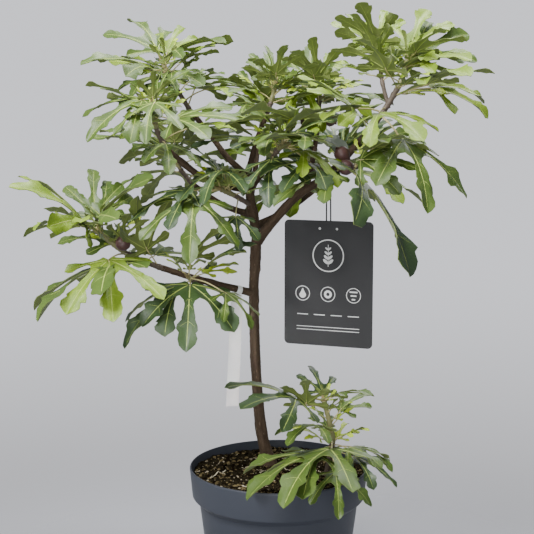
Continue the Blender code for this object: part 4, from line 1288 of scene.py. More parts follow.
@dataclass
class Twig:
    """The looks of a mass's stems: leaf scars, green wood towards the tip and an end bud."""

    steps: int = 46
    sides: int = 12
    sunk: float = 0.004
    sunk_girth: float = 0.97
    waver: float = 0.00022
    waver_girth: float = 2.0
    waver_scale: float = 160.0
    scar: float = 0.00055
    scar_reach: float = 0.0013
    green_from: float = 0.55
    bud: tuple = ((-0.001, 0.95), (0.002, 1.05), (0.005, 0.85), (0.009, 0.42), (0.012, 0.08))
    bud_sides: int = 10

    def build(self, whole: Mesh, points: list[Vector], thick: float, thin: float,
              nodes: Sequence[float], seed: int) -> None:
        """Add a stem to a mesh: slot 0 is young bark, 1 green wood and 3 its bud.

        Args:
            whole: The mesh of twigs.
            points: Its waypoints.
            thick: Radius at its foot.
            thin: Radius at its tip.
            nodes: Shares of its length where leaves leave it.
            seed: Tells stems apart.
        """
        head = (points[1] - points[0]).normalized()
        path = [(points[0] - head * self.sunk, thick * self.sunk_girth)]
        path += [(curve_point(points, step / self.steps),
                  thick + (thin - thick) * step / self.steps) for step in range(self.steps + 1)]
        length = length_of([centre for centre, _ in path])

        def relief(angle: float, along: float) -> float:
            around = Vector((math.cos(angle), math.sin(angle), seed)) * self.waver_girth
            total = self.waver * noise.noise(around + UP * along * self.waver_scale)
            for node in nodes:
                total += self.scar * bell(along - node * length, self.scar_reach)
            return total

        green_from = curve_point(points, self.green_from)
        ahead = (points[-1] - green_from).normalized()
        first = len(whole.faces)
        append_mesh(whole, swept(path, self.sides, relief), 0)
        whole.faces.ensure_lookup_table()
        for face in whole.faces[first:]:
            if (face.calc_center_median() - green_from).dot(ahead) > 0:
                face.material_index = 1
        head = (points[-1] - points[-2]).normalized()
        bud = [(points[-1] + head * along, thin * girth) for along, girth in self.bud]
        append_mesh(whole, swept(bud, self.bud_sides), 3)


@dataclass
class Stalk:
    """The looks of a leaf's stalk, thick at its foot and let into the blade."""

    girth: float = 0.0105
    least: float = 0.0008
    steps: int = 12
    sides: int = 8
    behind: float = 0.03
    below: float = 0.004
    inside: float = 0.05
    arch: float = 0.05
    swelling: float = 0.55
    swelling_reach: float = 0.07
    taper: float = 0.25

    def build(self, whole: Mesh, start: Vector, leaf: Leaf) -> None:
        """Add a leaf's stalk, from its stem to the foot of its blade, in slot 2.

        Args:
            whole: The mesh of twigs.
            start: Where it leaves the stem.
            leaf: The leaf.
        """
        place = blade_place(blade_foot(start, leaf), leaf)
        radius = max(self.least, self.girth * leaf.blade)
        behind = place @ Vector((0.0, -self.behind * leaf.blade, -self.below * leaf.blade))
        inside = place @ Vector((0.0, self.inside * leaf.blade, 0.0))
        middle = start.lerp(behind, 0.5) + UP * leaf.petiole * self.arch
        points = [start, middle, behind, inside]
        path = []
        for step in range(self.steps + 1):
            share = step / self.steps
            swelling = self.swelling * math.exp(-share / self.swelling_reach)
            path.append((curve_point(points, share),
                         radius * (1.0 + swelling - self.taper * share)))
        append_mesh(whole, swept(path, self.sides), 2)


@dataclass
class Foliage:
    """The masses of foliage: stems, stalks, buds, leaves and figs in the solids' reach."""

    shop: LeafShop
    twig: Twig = field(default_factory=Twig)
    stalk: Stalk = field(default_factory=Stalk)
    fig: Fig = field(default_factory=Fig)
    gap: float = 0.0003
    twig_bend: float = 0.08
    twig_taper: float = 0.8
    young_share: float = 0.6
    look_seed: int = 500
    fig_reach: float = 0.001
    kept_off: tuple = ("pot", "soil", "tag_card", "label_strip")
    limbs: BVHTree = field(init=False)
    tips: dict[str, tuple[Vector, Vector]] = field(default_factory=dict)
    fruit: list[Vector] = field(default_factory=list)

    def __post_init__(self) -> None:
        """Gather the boughs' tips and the faces of what no leaf may pass through."""
        corners, faces = [], []
        for name in [*(limb.name for limb in (TRUNK, *BOUGHS)), *self.kept_off]:
            solid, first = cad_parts[name].data, len(corners)
            corners += [vertex.co.copy() for vertex in solid.vertices]
            faces += [[first + index for index in face.vertices] for face in solid.polygons]
        self.limbs = BVHTree.FromPolygons(corners, faces)
        for limb in BOUGHS:
            points = [Vector(point) for point in limb.points]
            steps = 2 * (len(points) - 1)
            end, before = points[-1], curve_point(points, (steps - 1) / steps)
            self.tips[limb.name] = (end, (end - before).normalized())

    @staticmethod
    def shifted(leaf: Leaf, bearing: float, rise: float) -> Leaf:
        """The leaf turned in plan and tilted by a few degrees."""
        tilt = max(STEEPEST[0], min(STEEPEST[1], leaf.rise + rise))
        return replace(leaf, bearing=leaf.bearing + bearing, rise=tilt)

    def tries(self, start: Vector, leaf: Leaf) -> Iterator[tuple[Leaf, Matrix]]:
        """The leaf at each shift in turn, with the matrix of its blade."""
        for shift in SHIFTS:
            tried = self.shifted(leaf, *shift)
            yield tried, blade_place(blade_foot(start, tried), tried)

    @staticmethod
    def rib_point(place: Matrix, leaf: Leaf, angle: float, radius: float,
                  height: float = 0.0) -> Vector:
        """A point on one of the solid blade's ribs."""
        turn = math.radians(angle)
        flat = Vector((math.sin(turn) * radius, math.cos(turn) * radius, height))
        return place @ LeafShop.bent(flat, leaf.blade, DROOP)

    def kept(self, tree: BVHTree, start: Vector, leaf: Leaf) -> Optional[Leaf]:
        """Find the place that the solid gave a leaf, if it kept it.

        Args:
            tree: Faces of the mass's solid.
            start: Where the leaf leaves its stem.
            leaf: The leaf as the rule first has it.

        Returns:
            The leaf as it was kept, or None.
        """
        best, most = None, MATCH_LEAST - 1
        for tried, place in self.tries(start, leaf):
            tips = (self.rib_point(place, tried, angle, radius, SOLID_HALF / leaf.blade)
                    for angle, radius in SOLID_TIPS)
            hits = sum(tree.find_nearest(tip, MATCH_REACH)[0] is not None for tip in tips)
            if hits > most:
                best, most = tried, hits
        return best

    def covers_fruit(self, point: Vector) -> bool:
        """Whether a point of a leaf hangs in front of a fig."""
        return any(abs(point.x - centre.x) < FIG_VIEW and abs(point.z - centre.z) < FIG_VIEW
                   and point.y < centre.y for centre in self.fruit)

    def passes(self, points: Sequence[Vector]) -> bool:
        """Whether a rib stays in reach and meets no limb, card or pot."""
        if not all(low < at < high for low, at, high in zip(CAD_BOX[0], points[-1], CAD_BOX[1])):
            return False
        for near, far in zip(points, points[1:]):
            ahead = far - near
            if self.limbs.ray_cast(near, ahead.normalized(), ahead.length)[0] is not None:
                return False
        return True

    def clear(self, start: Vector, leaf: Leaf, young: bool = False) -> Optional[Leaf]:
        """Shift a leaf until it stays in reach and passes through no limb, card or pot.

        Args:
            start: Where the leaf leaves its stem.
            leaf: The leaf as the table or the rule first has it.
            young: Whether it is a young leaf, which also leaves the figs in view.

        Returns:
            The leaf at its first free place, or None.
        """
        for tried, place in self.tries(start, leaf):
            ribs = [[self.rib_point(place, tried, angle, radius * share) for share in RIB_SHARES]
                    for angle, radius in SOLID_TIPS]
            hides = young and any(self.covers_fruit(point) for rib in ribs for point in rib)
            if not hides and all(map(self.passes, ribs)):
                return tried
        return None

    def stems(self, mass: Mass) -> list[list[Vector]]:
        """Waypoints of a mass's stem and of its side twigs.

        Args:
            mass: The mass.

        Returns:
            A list of waypoints for each, the stem first.
        """
        points = [Vector(point) for point in mass.points]
        if mass.carrier in self.tips:
            tip, head = self.tips[mass.carrier]
            points = [tip + head * self.gap] + points
        paths = [points]
        for along, bearing, rise, length in mass.twigs:
            start = curve_point(points, along)
            end = start + heading(bearing, rise) * length
            bend = heading(bearing, 0.0) * length * self.twig_bend
            paths.append([start, (start + end) / 2 + bend, end])
        return paths

    def fig_places(self, mass: Mass, stem: list[Vector]) -> Iterator[tuple[Vector, Vector]]:
        """Where each fig of a mass leaves its stem, and the way that it points."""
        for along, bearing, rise in mass.figs:
            yield curve_point(stem, along), heading(bearing, rise)

    def settled(self, mass: Mass, paths: list[list[Vector]],
                tree: BVHTree) -> list[tuple[Leaf, bool]]:
        """Find a place for each leaf of a mass.

        Args:
            mass: The mass.
            paths: Waypoints of its stem and twigs.
            tree: Faces of its solid.

        Returns:
            The leaves that have one, each with whether it is a young one.
        """
        found = []
        for leaf in mass.leaves:
            found.append((self.clear(curve_point(paths[leaf.twig], leaf.along), leaf), False))
        for leaf in GROWN.leaves(mass, mass.more):
            start = curve_point(paths[leaf.twig], leaf.along)
            found.append((self.kept(tree, start, leaf) or self.clear(start, leaf), False))
        for leaf in YOUNG.leaves(mass, mass.small):
            start = curve_point(paths[leaf.twig], leaf.along)
            found.append((self.clear(start, leaf, True), True))
        return [(leaf, young) for leaf, young in found if leaf]

    def grow(self, mass: Mass) -> None:
        """Make the pieces of one mass."""
        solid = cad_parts[mass.name].data
        tree = BVHTree.FromPolygons([vertex.co.copy() for vertex in solid.vertices],
                                    [list(face.vertices) for face in solid.polygons])
        paths = self.stems(mass)
        leaves, twigs, figs = bmesh.new(), bmesh.new(), bmesh.new()
        draw = random.Random(self.look_seed + mass.seed)
        settled = self.settled(mass, paths, tree)
        for leaf, young in settled:
            start = curve_point(paths[leaf.twig], leaf.along)
            tender = young and draw.random() < self.young_share
            # Young leaves: own pale tone; others: the mass's greens, with painted light and shade
            tint = Tint.YOUNG if tender else draw.choice(mass.tints)
            self.stalk.build(twigs, start, leaf)
            self.shop.lay(leaves, blade_foot(start, leaf), leaf, TOP_SLOTS[tint], draw, young)
        for index, points in enumerate(paths):
            nodes = [leaf.along for leaf, _ in settled if leaf.twig == index]
            thick = mass.thin if index else mass.thick
            thin = mass.thin * (self.twig_taper if index else 1.0)
            self.twig.build(twigs, points, thick, thin, nodes, mass.seed + index)
        for start, axis in self.fig_places(mass, paths[0]):
            tip = self.fig.centre(start, axis) + axis * self.fig.length / 2
            if tree.find_nearest(tip, self.fig_reach)[0] is not None:
                self.fig.build(figs, start, axis)
        LOG.info("%s: %d leaves", mass.name, len(settled))
        self.finish(mass, leaves, twigs, figs)

    @staticmethod
    def finish(mass: Mass, leaves: Mesh, twigs: Mesh, figs: Mesh) -> None:
        """Make pieces of a mass's three meshes.

        Args:
            mass: The mass.
            leaves: Its leaves.
            twigs: Its stems, stalks and buds.
            figs: Its figs, maybe none.
        """
        greens = [LEAF_TOPS[tint] for tint in Tint]
        kinds = [("leaves", leaves, [*greens, LEAF_UNDER, VEIN]),
                 ("twigs", twigs, [YOUNG_BARK, GREEN_WOOD, PETIOLE, BUD]),
                 ("figs", figs, [FIG_SKIN, FIG_NECK])]
        for kind, mesh, finishes in kinds:
            if mesh.faces:
                put_piece(f"{mass.name}_{kind}", mesh, [finish.build() for finish in finishes],
                          [mass.name])
            else:
                mesh.free()

    def build(self) -> None:
        """Grow every mass, once it is known where all the figs hang."""
        for mass in MASSES:
            self.fruit += [self.fig.centre(start, axis)
                           for start, axis in self.fig_places(mass, self.stems(mass)[0])]
        for mass in MASSES:
            self.grow(mass)


@dataclass
class Pot:
    """The round nursery pot: band, shoulder, wall, floor and drain holes."""

    rim_radius: float = 0.105
    band_height: float = 0.034
    band_foot: float = 0.1015
    shoulder_drop: float = 0.007
    body_radius: float = 0.0935
    foot_radius: float = 0.078
    wall: float = 0.0022
    floor: float = 0.003
    chamfer: float = 0.002
    lip: float = 0.0012
    lip_in: float = 0.0004
    rounding: float = 0.0009
    rounding_steps: int = 3
    bent: float = 0.18
    sharp: float = 0.6
    steps: int = 144
    holes: int = 6
    hole_radius: float = 0.005
    hole_circle: float = 0.055
    hole_steps: int = 28

    def build(self) -> None:
        """Spin the pot, round its corners and cut its holes."""
        low = POT_HEIGHT - self.band_height
        wall = self.wall
        profile = [(0.0, 0.0), (self.foot_radius - self.chamfer, 0.0),
                   (self.foot_radius, self.chamfer),
                   (self.body_radius, low - self.shoulder_drop), (self.band_foot, low),
                   (self.rim_radius - self.lip_in, POT_HEIGHT - self.lip),
                   (self.rim_radius - self.lip, POT_HEIGHT),
                   (self.rim_radius - wall, POT_HEIGHT), (self.band_foot - wall, low),
                   (self.body_radius - wall, low - self.shoulder_drop),
                   (self.foot_radius - wall, self.floor), (0.0, self.floor)]
        mesh = turned(profile, self.steps)
        corners = [edge for edge in mesh.edges
                   if abs(edge.verts[0].co.z - edge.verts[1].co.z) < WELD
                   and edge.calc_face_angle(0.0) > self.bent]
        bmesh.ops.bevel(mesh, geom=corners, offset=self.rounding, segments=self.rounding_steps,
                        profile=0.5, affect="EDGES", material=-1)
        for edge in mesh.edges:
            edge.smooth = edge.calc_face_angle(0.0) < self.sharp
        piece = put_piece("pot_shell", mesh, [POT_PLASTIC.build()], ["pot"])
        self.drill(piece)

    def drill(self, piece: bpy.types.Object) -> None:
        """Cut the pot's drain holes with one Boolean, which is applied."""
        drills = bmesh.new()
        for index in range(self.holes):
            turn = 2 * math.pi * (index + 0.5) / self.holes
            place = Matrix.Translation((self.hole_circle * math.cos(turn),
                                        self.hole_circle * math.sin(turn), 0.0))
            bmesh.ops.create_cone(drills, cap_ends=True, segments=self.hole_steps,
                                  radius1=self.hole_radius, radius2=self.hole_radius,
                                  depth=4 * self.floor, matrix=place)
        data = bpy.data.meshes.new("drills")
        drills.to_mesh(data)
        drills.free()
        tool = place_object("drills", data)
        cut = piece.modifiers.new("holes", "BOOLEAN")
        cut.operation, cut.object, cut.solver = "DIFFERENCE", tool, "EXACT"
        done = bmesh.new()
        done.from_object(piece, bpy.context.evaluated_depsgraph_get())
        piece.modifiers.remove(cut)
        done.to_mesh(piece.data)
        done.free()
        bpy.data.objects.remove(tool, do_unlink=True)


@dataclass
class Compost:
    """The compost that fills the pot, with its loose crumbs and bits of straw."""

    rings: int = 46
    steps: int = 230
    edge: float = 0.101
    wall: tuple = ((0.0, 0.0034), (0.0755, 0.0034), (0.0908, 0.1235), (0.0988, 0.1305))
    edge_drop: float = 0.004
    lump: float = 0.0026
    lump_scale: float = 190.0
    grain_scale: float = 420.0
    grain: float = 0.6
    crumbs: int = 2100
    crumb_least: float = 0.0007
    crumb_most: float = 0.0019
    crumb_skew: float = 2.2
    coarse_from: float = 0.0018
    fine_slots: tuple = (0, 0, 0, 0, 1, 1, 2)
    coarse_slots: tuple = (0, 0, 1, 1)
    crumb_shape: tuple = ((0.7, 1.8), (0.6, 1.1), (0.4, 0.8))
    crumb_rough: Pair = (0.72, 1.15)
    crumb_tilt: float = 0.6
    straws: int = 34
    straw_slots: tuple = (1, 2, 3)
    straw_lengths: Pair = (0.005, 0.017)
    straw_thick: float = 0.00045
    straw_steps: int = 4
    straw_sides: int = 5
    long_straw: tuple[float, float, float, float] = (-0.0709, -0.0108, 1.09, 0.036)
    long_straw_thick: float = 0.0007
    seed: int = 31
    strewn: Pair = (0.97, 0.85)
    standing: float = 0.15
    loose: Mesh = field(default_factory=bmesh.new)

    @staticmethod
    def level(x: float, y: float) -> float:
        """Height of the compost without its crumbs, level round each stem's foot."""
        lumps = (math.sin(61 * x + 17 * y) + math.sin(83 * y - 29 * x + 1.3)
                 + math.sin(140 * x + 95 * y)) / 3
        share = 1.0
        for foot in (TRUNK_FOOT, SHOOT_FOOT):
            away = math.hypot(x - foot.x, y - foot.y)
            share = min(share, max(0.0, away / LEVEL_RADIUS - 1.0))
        return SOIL_TOP + SOIL_LUMP * lumps * share

    def surface(self, x: float, y: float) -> float:
        """Height of the crumbly surface at a point."""
        at = Vector((x, y, 0.0))
        rough = noise.noise(at * self.lump_scale)
        rough += self.grain * abs(noise.noise(at * self.grain_scale))
        return self.level(x, y) + self.lump * rough

    def build(self) -> None:
        """Make the plug and scatter crumbs and straw on it."""
        profile = [*self.wall, (self.edge, SOIL_TOP - self.edge_drop)]
        profile += [(self.edge * ring / self.rings, SOIL_TOP) for ring in range(self.rings, -1, -1)]
        mesh = turned(profile, self.steps)
        for vertex in mesh.verts:
            if vertex.co.z > SOIL_TOP - WELD:
                vertex.co.z = self.surface(vertex.co.x, vertex.co.y)
        put_piece("compost_bed", mesh, [COMPOST.build()], ["soil"])
        draw = random.Random(self.seed)
        for _ in range(self.crumbs):
            self.crumb(draw)
        for _ in range(self.straws):
            turn = draw.uniform(0, 2 * math.pi)
            radius = self.edge * self.strewn[1] * math.sqrt(draw.random())
            self.straw(radius * math.cos(turn), radius * math.sin(turn),
                       draw.uniform(0, math.pi), draw.uniform(*self.straw_lengths),
                       draw.choice(self.straw_slots), self.straw_thick)
        self.straw(*self.long_straw, self.straw_slots[-1], self.long_straw_thick)
        finishes = [CRUMB_DARK, CRUMB_BROWN, CRUMB_PALE, STRAW]
        put_piece("compost_crumbs", self.loose, [finish.build() for finish in finishes],
                  ["soil"], smooth=False)

    def crumb(self, draw: random.Random) -> None:
        """Drop one crumb, mostly a small one.

        Args:
            draw: Draws its place, its size, its finish and its shape.
        """
        radius = self.edge * self.strewn[0] * math.sqrt(draw.random())
        turn = draw.uniform(0, 2 * math.pi)
        x, y = radius * math.cos(turn), radius * math.sin(turn)
        size = self.crumb_least + self.crumb_most * draw.random() ** self.crumb_skew
        slot = draw.choice(self.fine_slots if size < self.coarse_from else self.coarse_slots)
        stretch = Vector([draw.uniform(*span) for span in self.crumb_shape]) * size
        spin = Matrix.Rotation(draw.uniform(0, 2 * math.pi), 4, "Z")
        tilt = Matrix.Rotation(draw.uniform(-self.crumb_tilt, self.crumb_tilt), 4, "X")
        height = self.surface(x, y) + size * self.standing
        place = Matrix.Translation((x, y, height)) @ spin @ tilt
        mesh = bmesh.new()
        bmesh.ops.create_icosphere(mesh, subdivisions=1, radius=1.0)
        for vertex in mesh.verts:
            vertex.co *= draw.uniform(*self.crumb_rough)
            vertex.co = Vector(a * b for a, b in zip(vertex.co, stretch))
        bmesh.ops.transform(mesh, matrix=place, verts=mesh.verts[:])
        append_mesh(self.loose, mesh, slot)

    def straw(self, x: float, y: float, ahead: float, length: float, slot: int,
              thick: float) -> None:
        """Lay one bit of straw or bark fibre.

        Args:
            x: Its middle, to the right.
            y: Its middle, to the back.
            ahead: The way that it lies, in radians.
            length: Its length.
            slot: Its material slot.
            thick: Its radius.
        """
        path = []
        for step in range(self.straw_steps + 1):
            off = (step / self.straw_steps - 0.5) * length
            along, across = x + off * math.cos(ahead), y + off * math.sin(ahead)
            path.append((Vector((along, across, self.surface(along, across) + 2 * thick)), thick))
        append_mesh(self.loose, swept(path, self.straw_sides), slot)


@dataclass(frozen=True)
class Hook:
    """Where something loops over a limb: its centre and the ways along, out and over it."""

    centre: Vector
    along: Vector
    outwards: Vector
    over: Vector

    @classmethod
    def on(cls, limb: Limb, share: float) -> "Hook":
        """The hook at a share of a limb's length."""
        points = [Vector(point) for point in limb.points]
        centre = curve_point(points, share)
        along = (curve_point(points, share + 0.02) - centre).normalized()
        outwards = UP.cross(along).normalized()
        return cls(centre, along, outwards, along.cross(outwards))

    def round(self, first: float, turn: float, steps: int, reach: float) -> list[Vector]:
        """Points of an arc round the limb.

        Args:
            first: Degrees where it starts, 0 outwards and 90 on top.
            turn: Degrees that it turns by.
            steps: Its steps.
            reach: Its radius.

        Returns:
            The points, one more than the steps.
        """
        angles = [math.radians(first + turn * step / steps) for step in range(steps + 1)]
        return [self.centre + (self.outwards * math.cos(angle) + self.over * math.sin(angle))
                * reach for angle in angles]


@dataclass
class HangTag:
    """The black hang tag: its card, its plain motifs, its eyelet and its strap.

    A ring is its place across and up the card and its two radii. A bar is its place, its
    width and its height.
    """

    size: Vector = field(default_factory=lambda: Vector((0.104, 0.0012, 0.143)))
    centre: Vector = field(default_factory=lambda: Vector((0.0555, -0.028, 0.385)))
    turn: float = -20.0
    ink: float = 0.00012
    ring_pieces: int = 40
    large_ring: tuple = (0.0, 0.032, 0.0185, 0.0172)
    sprig_size: float = 0.0125
    sprig_lean: float = math.radians(42)
    sprig_corners: int = 16
    columns: tuple = (-0.03, 0.0, 0.03)
    icons_up: float = -0.012
    icon_ring: tuple = (0.0086, 0.0078)
    drop_size: float = 0.004
    drop_down: float = 0.0015
    drop_corners: int = 28
    inner_ring: tuple = (0.0046, 0.002)
    steps_up: float = -0.0165
    steps_gap: float = 0.0042
    step_count: int = 3
    step_bar: tuple = (0.004, 0.0026, 0.0016)
    dashes: tuple = (-0.03, -0.01, 0.01, 0.03)
    dash_bar: tuple = (-0.036, 0.013, 0.0009)
    rules_up: tuple = (-0.05, -0.0535)
    rule_bar: tuple = (0.074, 0.0007)
    eyelets: tuple = (-0.01, 0.01)
    eyelet_ring: tuple = (0.0625, 0.0013, 0.0005)
    strap_radius: float = 0.0008
    strap_reach: float = 0.0061
    strap_place: float = 0.49
    strap_legs: float = 0.005
    strap_foot: float = 0.0015
    strap_steps: int = 90
    strap_sides: int = 10
    strap_arc: tuple = (-30.0, 240.0, 18)
    knot_gap: float = 0.001
    knot_radius: float = 0.0021
    knot_width: float = 0.0011
    knot_steps: int = 12
    knot_sides: int = 8
    knot_tilts: Pair = (0.5, -0.5)
    printed: Mesh = field(default_factory=bmesh.new)

    def flat_shape(self, corners: Sequence[Pair]) -> None:
        """Add a thin printed shape to the card's front.

        Args:
            corners: Outline in the card's own right and up, in metres.
        """
        mesh = bmesh.new()
        face = mesh.faces.new([mesh.verts.new((x, -self.size.y / 2, z)) for x, z in corners])
        grown = bmesh.ops.extrude_face_region(mesh, geom=[face])["geom"]
        moved = [part for part in grown if isinstance(part, bmesh.types.BMVert)]
        bmesh.ops.translate(mesh, vec=(0.0, -self.ink, 0.0), verts=moved)
        bmesh.ops.recalc_face_normals(mesh, faces=mesh.faces[:])
        append_mesh(self.printed, mesh)

    def ring(self, x: float, z: float, outer: float, inner: float) -> None:
        """Add a printed ring.

        Args:
            x: Its centre, to the right.
            z: Its centre, up.
            outer: Its outer radius.
            inner: Its inner radius.
        """
        for index in range(self.ring_pieces):
            first, second = (2 * math.pi * (index + step) / self.ring_pieces for step in (0, 1))
            corners = ((inner, first), (outer, first), (outer, second), (inner, second))
            self.flat_shape([(x + r * math.cos(a), z + r * math.sin(a)) for r, a in corners])

    def bar(self, x: float, z: float, width: float, height: float) -> None:
        """Add a printed bar with its centre at a point."""
        a, b = width / 2, height / 2
        self.flat_shape([(x - a, z - b), (x + a, z - b), (x + a, z + b), (x - a, z + b)])

    def drop(self, x: float, z: float, size: float) -> None:
        """Add a printed water drop."""
        outline = []
        for index in range(self.drop_corners):
            turn = 2 * math.pi * index / self.drop_corners
            up = max(0.0, math.sin(turn))
            outline.append((x + size * math.cos(turn) * (1.0 - 0.35 * up),
                            z + size * math.sin(turn) * (1.0 + 0.85 * up ** 5)))
        self.flat_shape(outline)

    def sprig(self, x: float, z: float, size: float) -> None:
        """Add a printed sprig: a stem with pairs of plain leaves."""
        self.bar(x, z, size * 0.05, size * 2.0)
        lean = self.sprig_lean
        for level in range(4):
            foot, reach = z + size * (-0.75 + 0.42 * level), size * (0.62 - 0.09 * level)
            for side in (-1, 1):
                outline = []
                for index in range(self.sprig_corners):
                    turn = 2 * math.pi * index / self.sprig_corners
                    along = reach * (0.5 + 0.5 * math.cos(turn))
                    across = reach * 0.22 * math.sin(turn)
                    right = along * math.cos(lean) - across * math.sin(lean)
                    up = along * math.sin(lean) + across * math.cos(lean)
                    outline.append((x + side * right, foot + up))
                self.flat_shape(outline)

    def build(self) -> None:
        """Dress the card and make what is printed on it and what holds it."""
        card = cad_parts["tag_card"]
        card.data.materials.clear()
        card.data.materials.append(TAG_CARD.build())
        self.ring(*self.large_ring)
        self.sprig(*self.large_ring[:2], self.sprig_size)
        for x in self.columns:
            self.ring(x, self.icons_up, *self.icon_ring)
        left, middle, right = self.columns
        self.drop(left, self.icons_up - self.drop_down, self.drop_size)
        self.ring(middle, self.icons_up, *self.inner_ring)
        shortest, longer, height = self.step_bar
        for step in range(self.step_count):
            self.bar(right, self.steps_up + self.steps_gap * step, shortest + longer * step, height)
        for x in self.dashes:
            self.bar(x, *self.dash_bar)
        for z in self.rules_up:
            self.bar(0.0, z, *self.rule_bar)
        for x in self.eyelets:
            self.ring(x, *self.eyelet_ring)
        place = Matrix.Translation(self.centre) @ Matrix.Rotation(math.radians(self.turn), 4, "Z")
        bmesh.ops.transform(self.printed, matrix=place, verts=self.printed.verts[:])
        put_piece("tag_motifs", self.printed, [TAG_INK.build()], smooth=False)
        self.strap()

    def strap(self) -> None:
        """Make the thin strap: a loop over the bough and two legs to the card."""
        hook = Hook.on(BOUGHS[0], self.strap_place)
        top = self.centre + UP * (self.size.z / 2 - self.strap_foot)
        leg = heading(self.turn, 0.0) * self.strap_legs / 2
        loop = [top + leg, *hook.round(*self.strap_arc, self.strap_reach), top - leg]
        mesh = swept([(curve_point(loop, step / self.strap_steps), self.strap_radius)
                      for step in range(self.strap_steps + 1)], self.strap_sides)
        below = hook.centre - hook.over * (self.strap_reach + self.knot_gap)
        for tilt in self.knot_tilts:
            knot = []
            for step in range(self.knot_steps + 1):
                turn = 2 * math.pi * step / self.knot_steps
                out = hook.outwards * math.cos(turn) + hook.over * tilt * math.sin(turn)
                knot.append((below + out * self.knot_radius
                             + hook.along * self.knot_width * math.sin(turn), self.strap_radius))
            append_mesh(mesh, swept(knot, self.knot_sides))
        put_piece("tag_strap_loop", mesh, [STRAP.build()], ["tag_strap"])


@dataclass
class PaperLabel:
    """The narrow white label that loops over the lower left bough."""

    width: float = 0.0145
    neck: float = 0.006
    thickness: float = 0.0006
    length: float = 0.138
    reach: float = 0.005
    arc: tuple = (-55.0, 240.0, 24)
    place: float = 0.19
    drift: Pair = (-0.006, -0.008)
    bow: float = 0.0022
    curl: float = 0.0005
    widens: float = 0.12
    steps: int = 30
    columns: int = 6
    sharp: float = 0.7

    def build(self) -> None:
        """Make the label as one smooth strip."""
        bough = next(limb for limb in BOUGHS if limb.name == "bough_lower_left")
        hook = Hook.on(bough, self.place)
        spine = [(point, hook.along, self.neck) for point in hook.round(*self.arc, self.reach)]
        foot = spine[-1][0]
        level = -RIGHT
        for step in range(1, self.steps + 1):
            share = step / self.steps
            bow = self.bow * math.sin(math.pi * share)
            hang = Vector((self.drift[0] * share, self.drift[1] * share - bow,
                           -self.length * share))
            wide = self.neck + (self.width - self.neck) * eased(share, 0.0, self.widens)
            side = hook.along.lerp(level, min(1.0, 3 * share)).normalized()
            spine.append((foot + hang, side, wide))

        def place(share: float, across: float) -> Vector:
            index = round(share * (len(spine) - 1))
            point, side, width = spine[index]
            ahead = spine[min(index + 1, len(spine) - 1)][0] - spine[max(index - 1, 0)][0]
            out = side.cross(ahead).normalized()
            return point + side * width * (across - 0.5) + out * self.curl * (2 * across - 1) ** 2

        mesh = mapped_grid(len(spine) - 1, self.columns, place)
        bmesh.ops.solidify(mesh, geom=mesh.faces[:], thickness=self.thickness)
        bmesh.ops.recalc_face_normals(mesh, faces=mesh.faces[:])
        for edge in mesh.edges:
            edge.smooth = edge.calc_face_angle(0.0) < self.sharp
        put_piece("label_paper_strip", mesh, [PAPER.build()], ["label_strip"])


@dataclass(frozen=True)
class Lamp:
    """One square light: where it hangs, its side, its watts, its target and its spread."""

    name: str
    place: tuple[float, float, float]
    size: float
    power: float
    target: tuple[float, float, float] = (0.0, 0.0, 0.35)
    spread: float = 180.0

    def hang(self) -> None:
        """Hang the light so that it faces its target."""
        data = bpy.data.lights.new(self.name, "AREA")
        data.shape, data.size, data.energy = "SQUARE", self.size, self.power
        data.spread = math.radians(self.spread)
        lamp = place_object(self.name, data)
        lamp.location = self.place
        aim = Vector(self.target) - Vector(self.place)
        lamp.rotation_euler = aim.to_track_quat("-Z", "Y").to_euler()


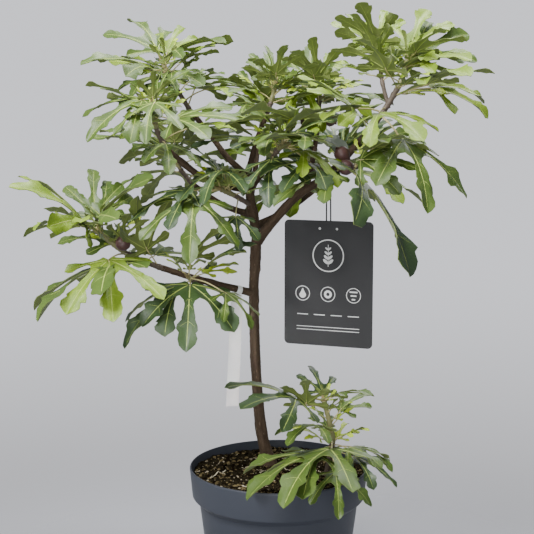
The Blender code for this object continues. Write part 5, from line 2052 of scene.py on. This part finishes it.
@dataclass
class Studio:
    """The floor, the soft lights, the pale world and the camera."""

    eye: tuple[float, float, float] = (-0.0136, -1.3, 0.575)
    pitch: float = 7.65
    lens: float = 76.72
    sensor: float = 36.0
    wall_high: Colour = (0.93, 0.94, 1.0)
    # The wall's colour low down and where it fades in are painted shade
    wall_low_painted_shade: Colour = (0.56, 0.562, 0.59)
    painted_shade_fade: Pair = (-0.36, -0.12)
    ambient: Colour = (0.34, 0.355, 0.39)
    floor_radius: float = 1.6
    floor_steps: int = 96
    floor_fade: Pair = (0.1, 0.75)
    floor_rough: float = 0.9
    lamps: tuple = (Lamp("key", (-1.1, -1.1, 2.0), 0.7, 95.0),
                    Lamp("fill", (-0.3, -2.1, 0.45), 1.2, 28.0),
                    Lamp("top", (0.3, 0.2, 2.4), 0.7, 84.0),
                    Lamp("back", (0.7, 1.9, 1.6), 1.2, 24.0),
                    Lamp("low", (-0.9, -1.2, 0.1), 0.1, 0.05, (-0.085, -0.01, 0.29), 10.0))

    def build(self) -> None:
        """Set the stage."""
        self.backdrop()
        self.floor()
        for lamp in self.lamps:
            lamp.hang()
        data = bpy.data.cameras.new("camera")
        data.lens, data.sensor_width = self.lens, self.sensor
        data.dof.use_dof = False
        camera = place_object("camera", data)
        camera.location = self.eye
        camera.rotation_euler = (math.radians(90.0 - self.pitch), 0.0, 0.0)
        bpy.context.scene.camera = camera

    def backdrop(self) -> None:
        """Give the world a pale wall to look at, with painted shade low down, and a dimmer light.
        """
        world = bpy.data.worlds.new("studio")
        world.use_nodes = True
        tree = world.node_tree
        seen = tree.nodes["Background"]
        glow, where, height, fade, wall, rays, both = add_nodes(
            tree, "Background", "TexCoord", "SeparateXYZ", "MapRange", "Mix", "LightPath",
            "MixShader")
        fill(glow, {"Color": (*self.ambient, 1.0)})
        fade.interpolation_type, wall.data_type = "SMOOTHSTEP", "RGBA"
        fill(fade, {"From Min": self.painted_shade_fade[0], "From Max": self.painted_shade_fade[1]})
        fill(wall, {"A": (*self.wall_low_painted_shade, 1.0), "B": (*self.wall_high, 1.0)})
        wire(tree, (where, "Generated", height, "Vector"), (height, "Z", fade, "Value"),
             (fade, "Result", wall, "Factor"), (wall, "Result", seen, "Color"),
             (rays, "Is Camera Ray", both, "Fac"), (glow, "Background", both, 1),
             (seen, "Background", both, 2), (both, "Shader", tree.nodes["World Output"], "Surface"))
        bpy.context.scene.world = world

    def floor(self) -> None:
        """Lay a pale floor that fades out into the world's colour."""
        mesh = bmesh.new()
        bmesh.ops.create_circle(mesh, cap_ends=True, cap_tris=True, segments=self.floor_steps,
                                radius=self.floor_radius)
        data = bpy.data.meshes.new("floor")
        mesh.to_mesh(data)
        mesh.free()
        floor = place_object("floor", data)
        material = bpy.data.materials.new("floor")
        material.use_nodes = True
        tree = material.node_tree
        shader = tree.nodes["Principled BSDF"]
        where, away, fade = add_nodes(tree, "TexCoord", "VectorMath", "MapRange")
        away.operation, fade.interpolation_type = "LENGTH", "SMOOTHSTEP"
        fill(shader, {"Base Color": (*FLOOR_COLOUR, 1.0), "Roughness": self.floor_rough})
        fill(fade, {"From Min": self.floor_fade[0], "From Max": self.floor_fade[1],
                    "To Min": 1.0, "To Max": 0.0})
        wire(tree, (where, "Object", away, 0), (away, "Value", fade, "Value"),
             (fade, "Result", shader, "Alpha"))
        data.materials.append(material)
        floor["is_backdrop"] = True


def main() -> None:
    """Build the studio and every piece of the plant."""
    logging.basicConfig(level=logging.INFO, format="%(name)s: %(message)s")
    Studio().build()
    Pot().build()
    Compost().build()
    Bark().build()
    Foliage(LeafShop()).build()
    HangTag().build()
    PaperLabel().build()
    boxes = {"cad": CAD_BOX, "visual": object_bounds()}
    {name: [list(corner) for corner in box] for name, box in boxes.items()}


if __name__ == "__main__":
    main()
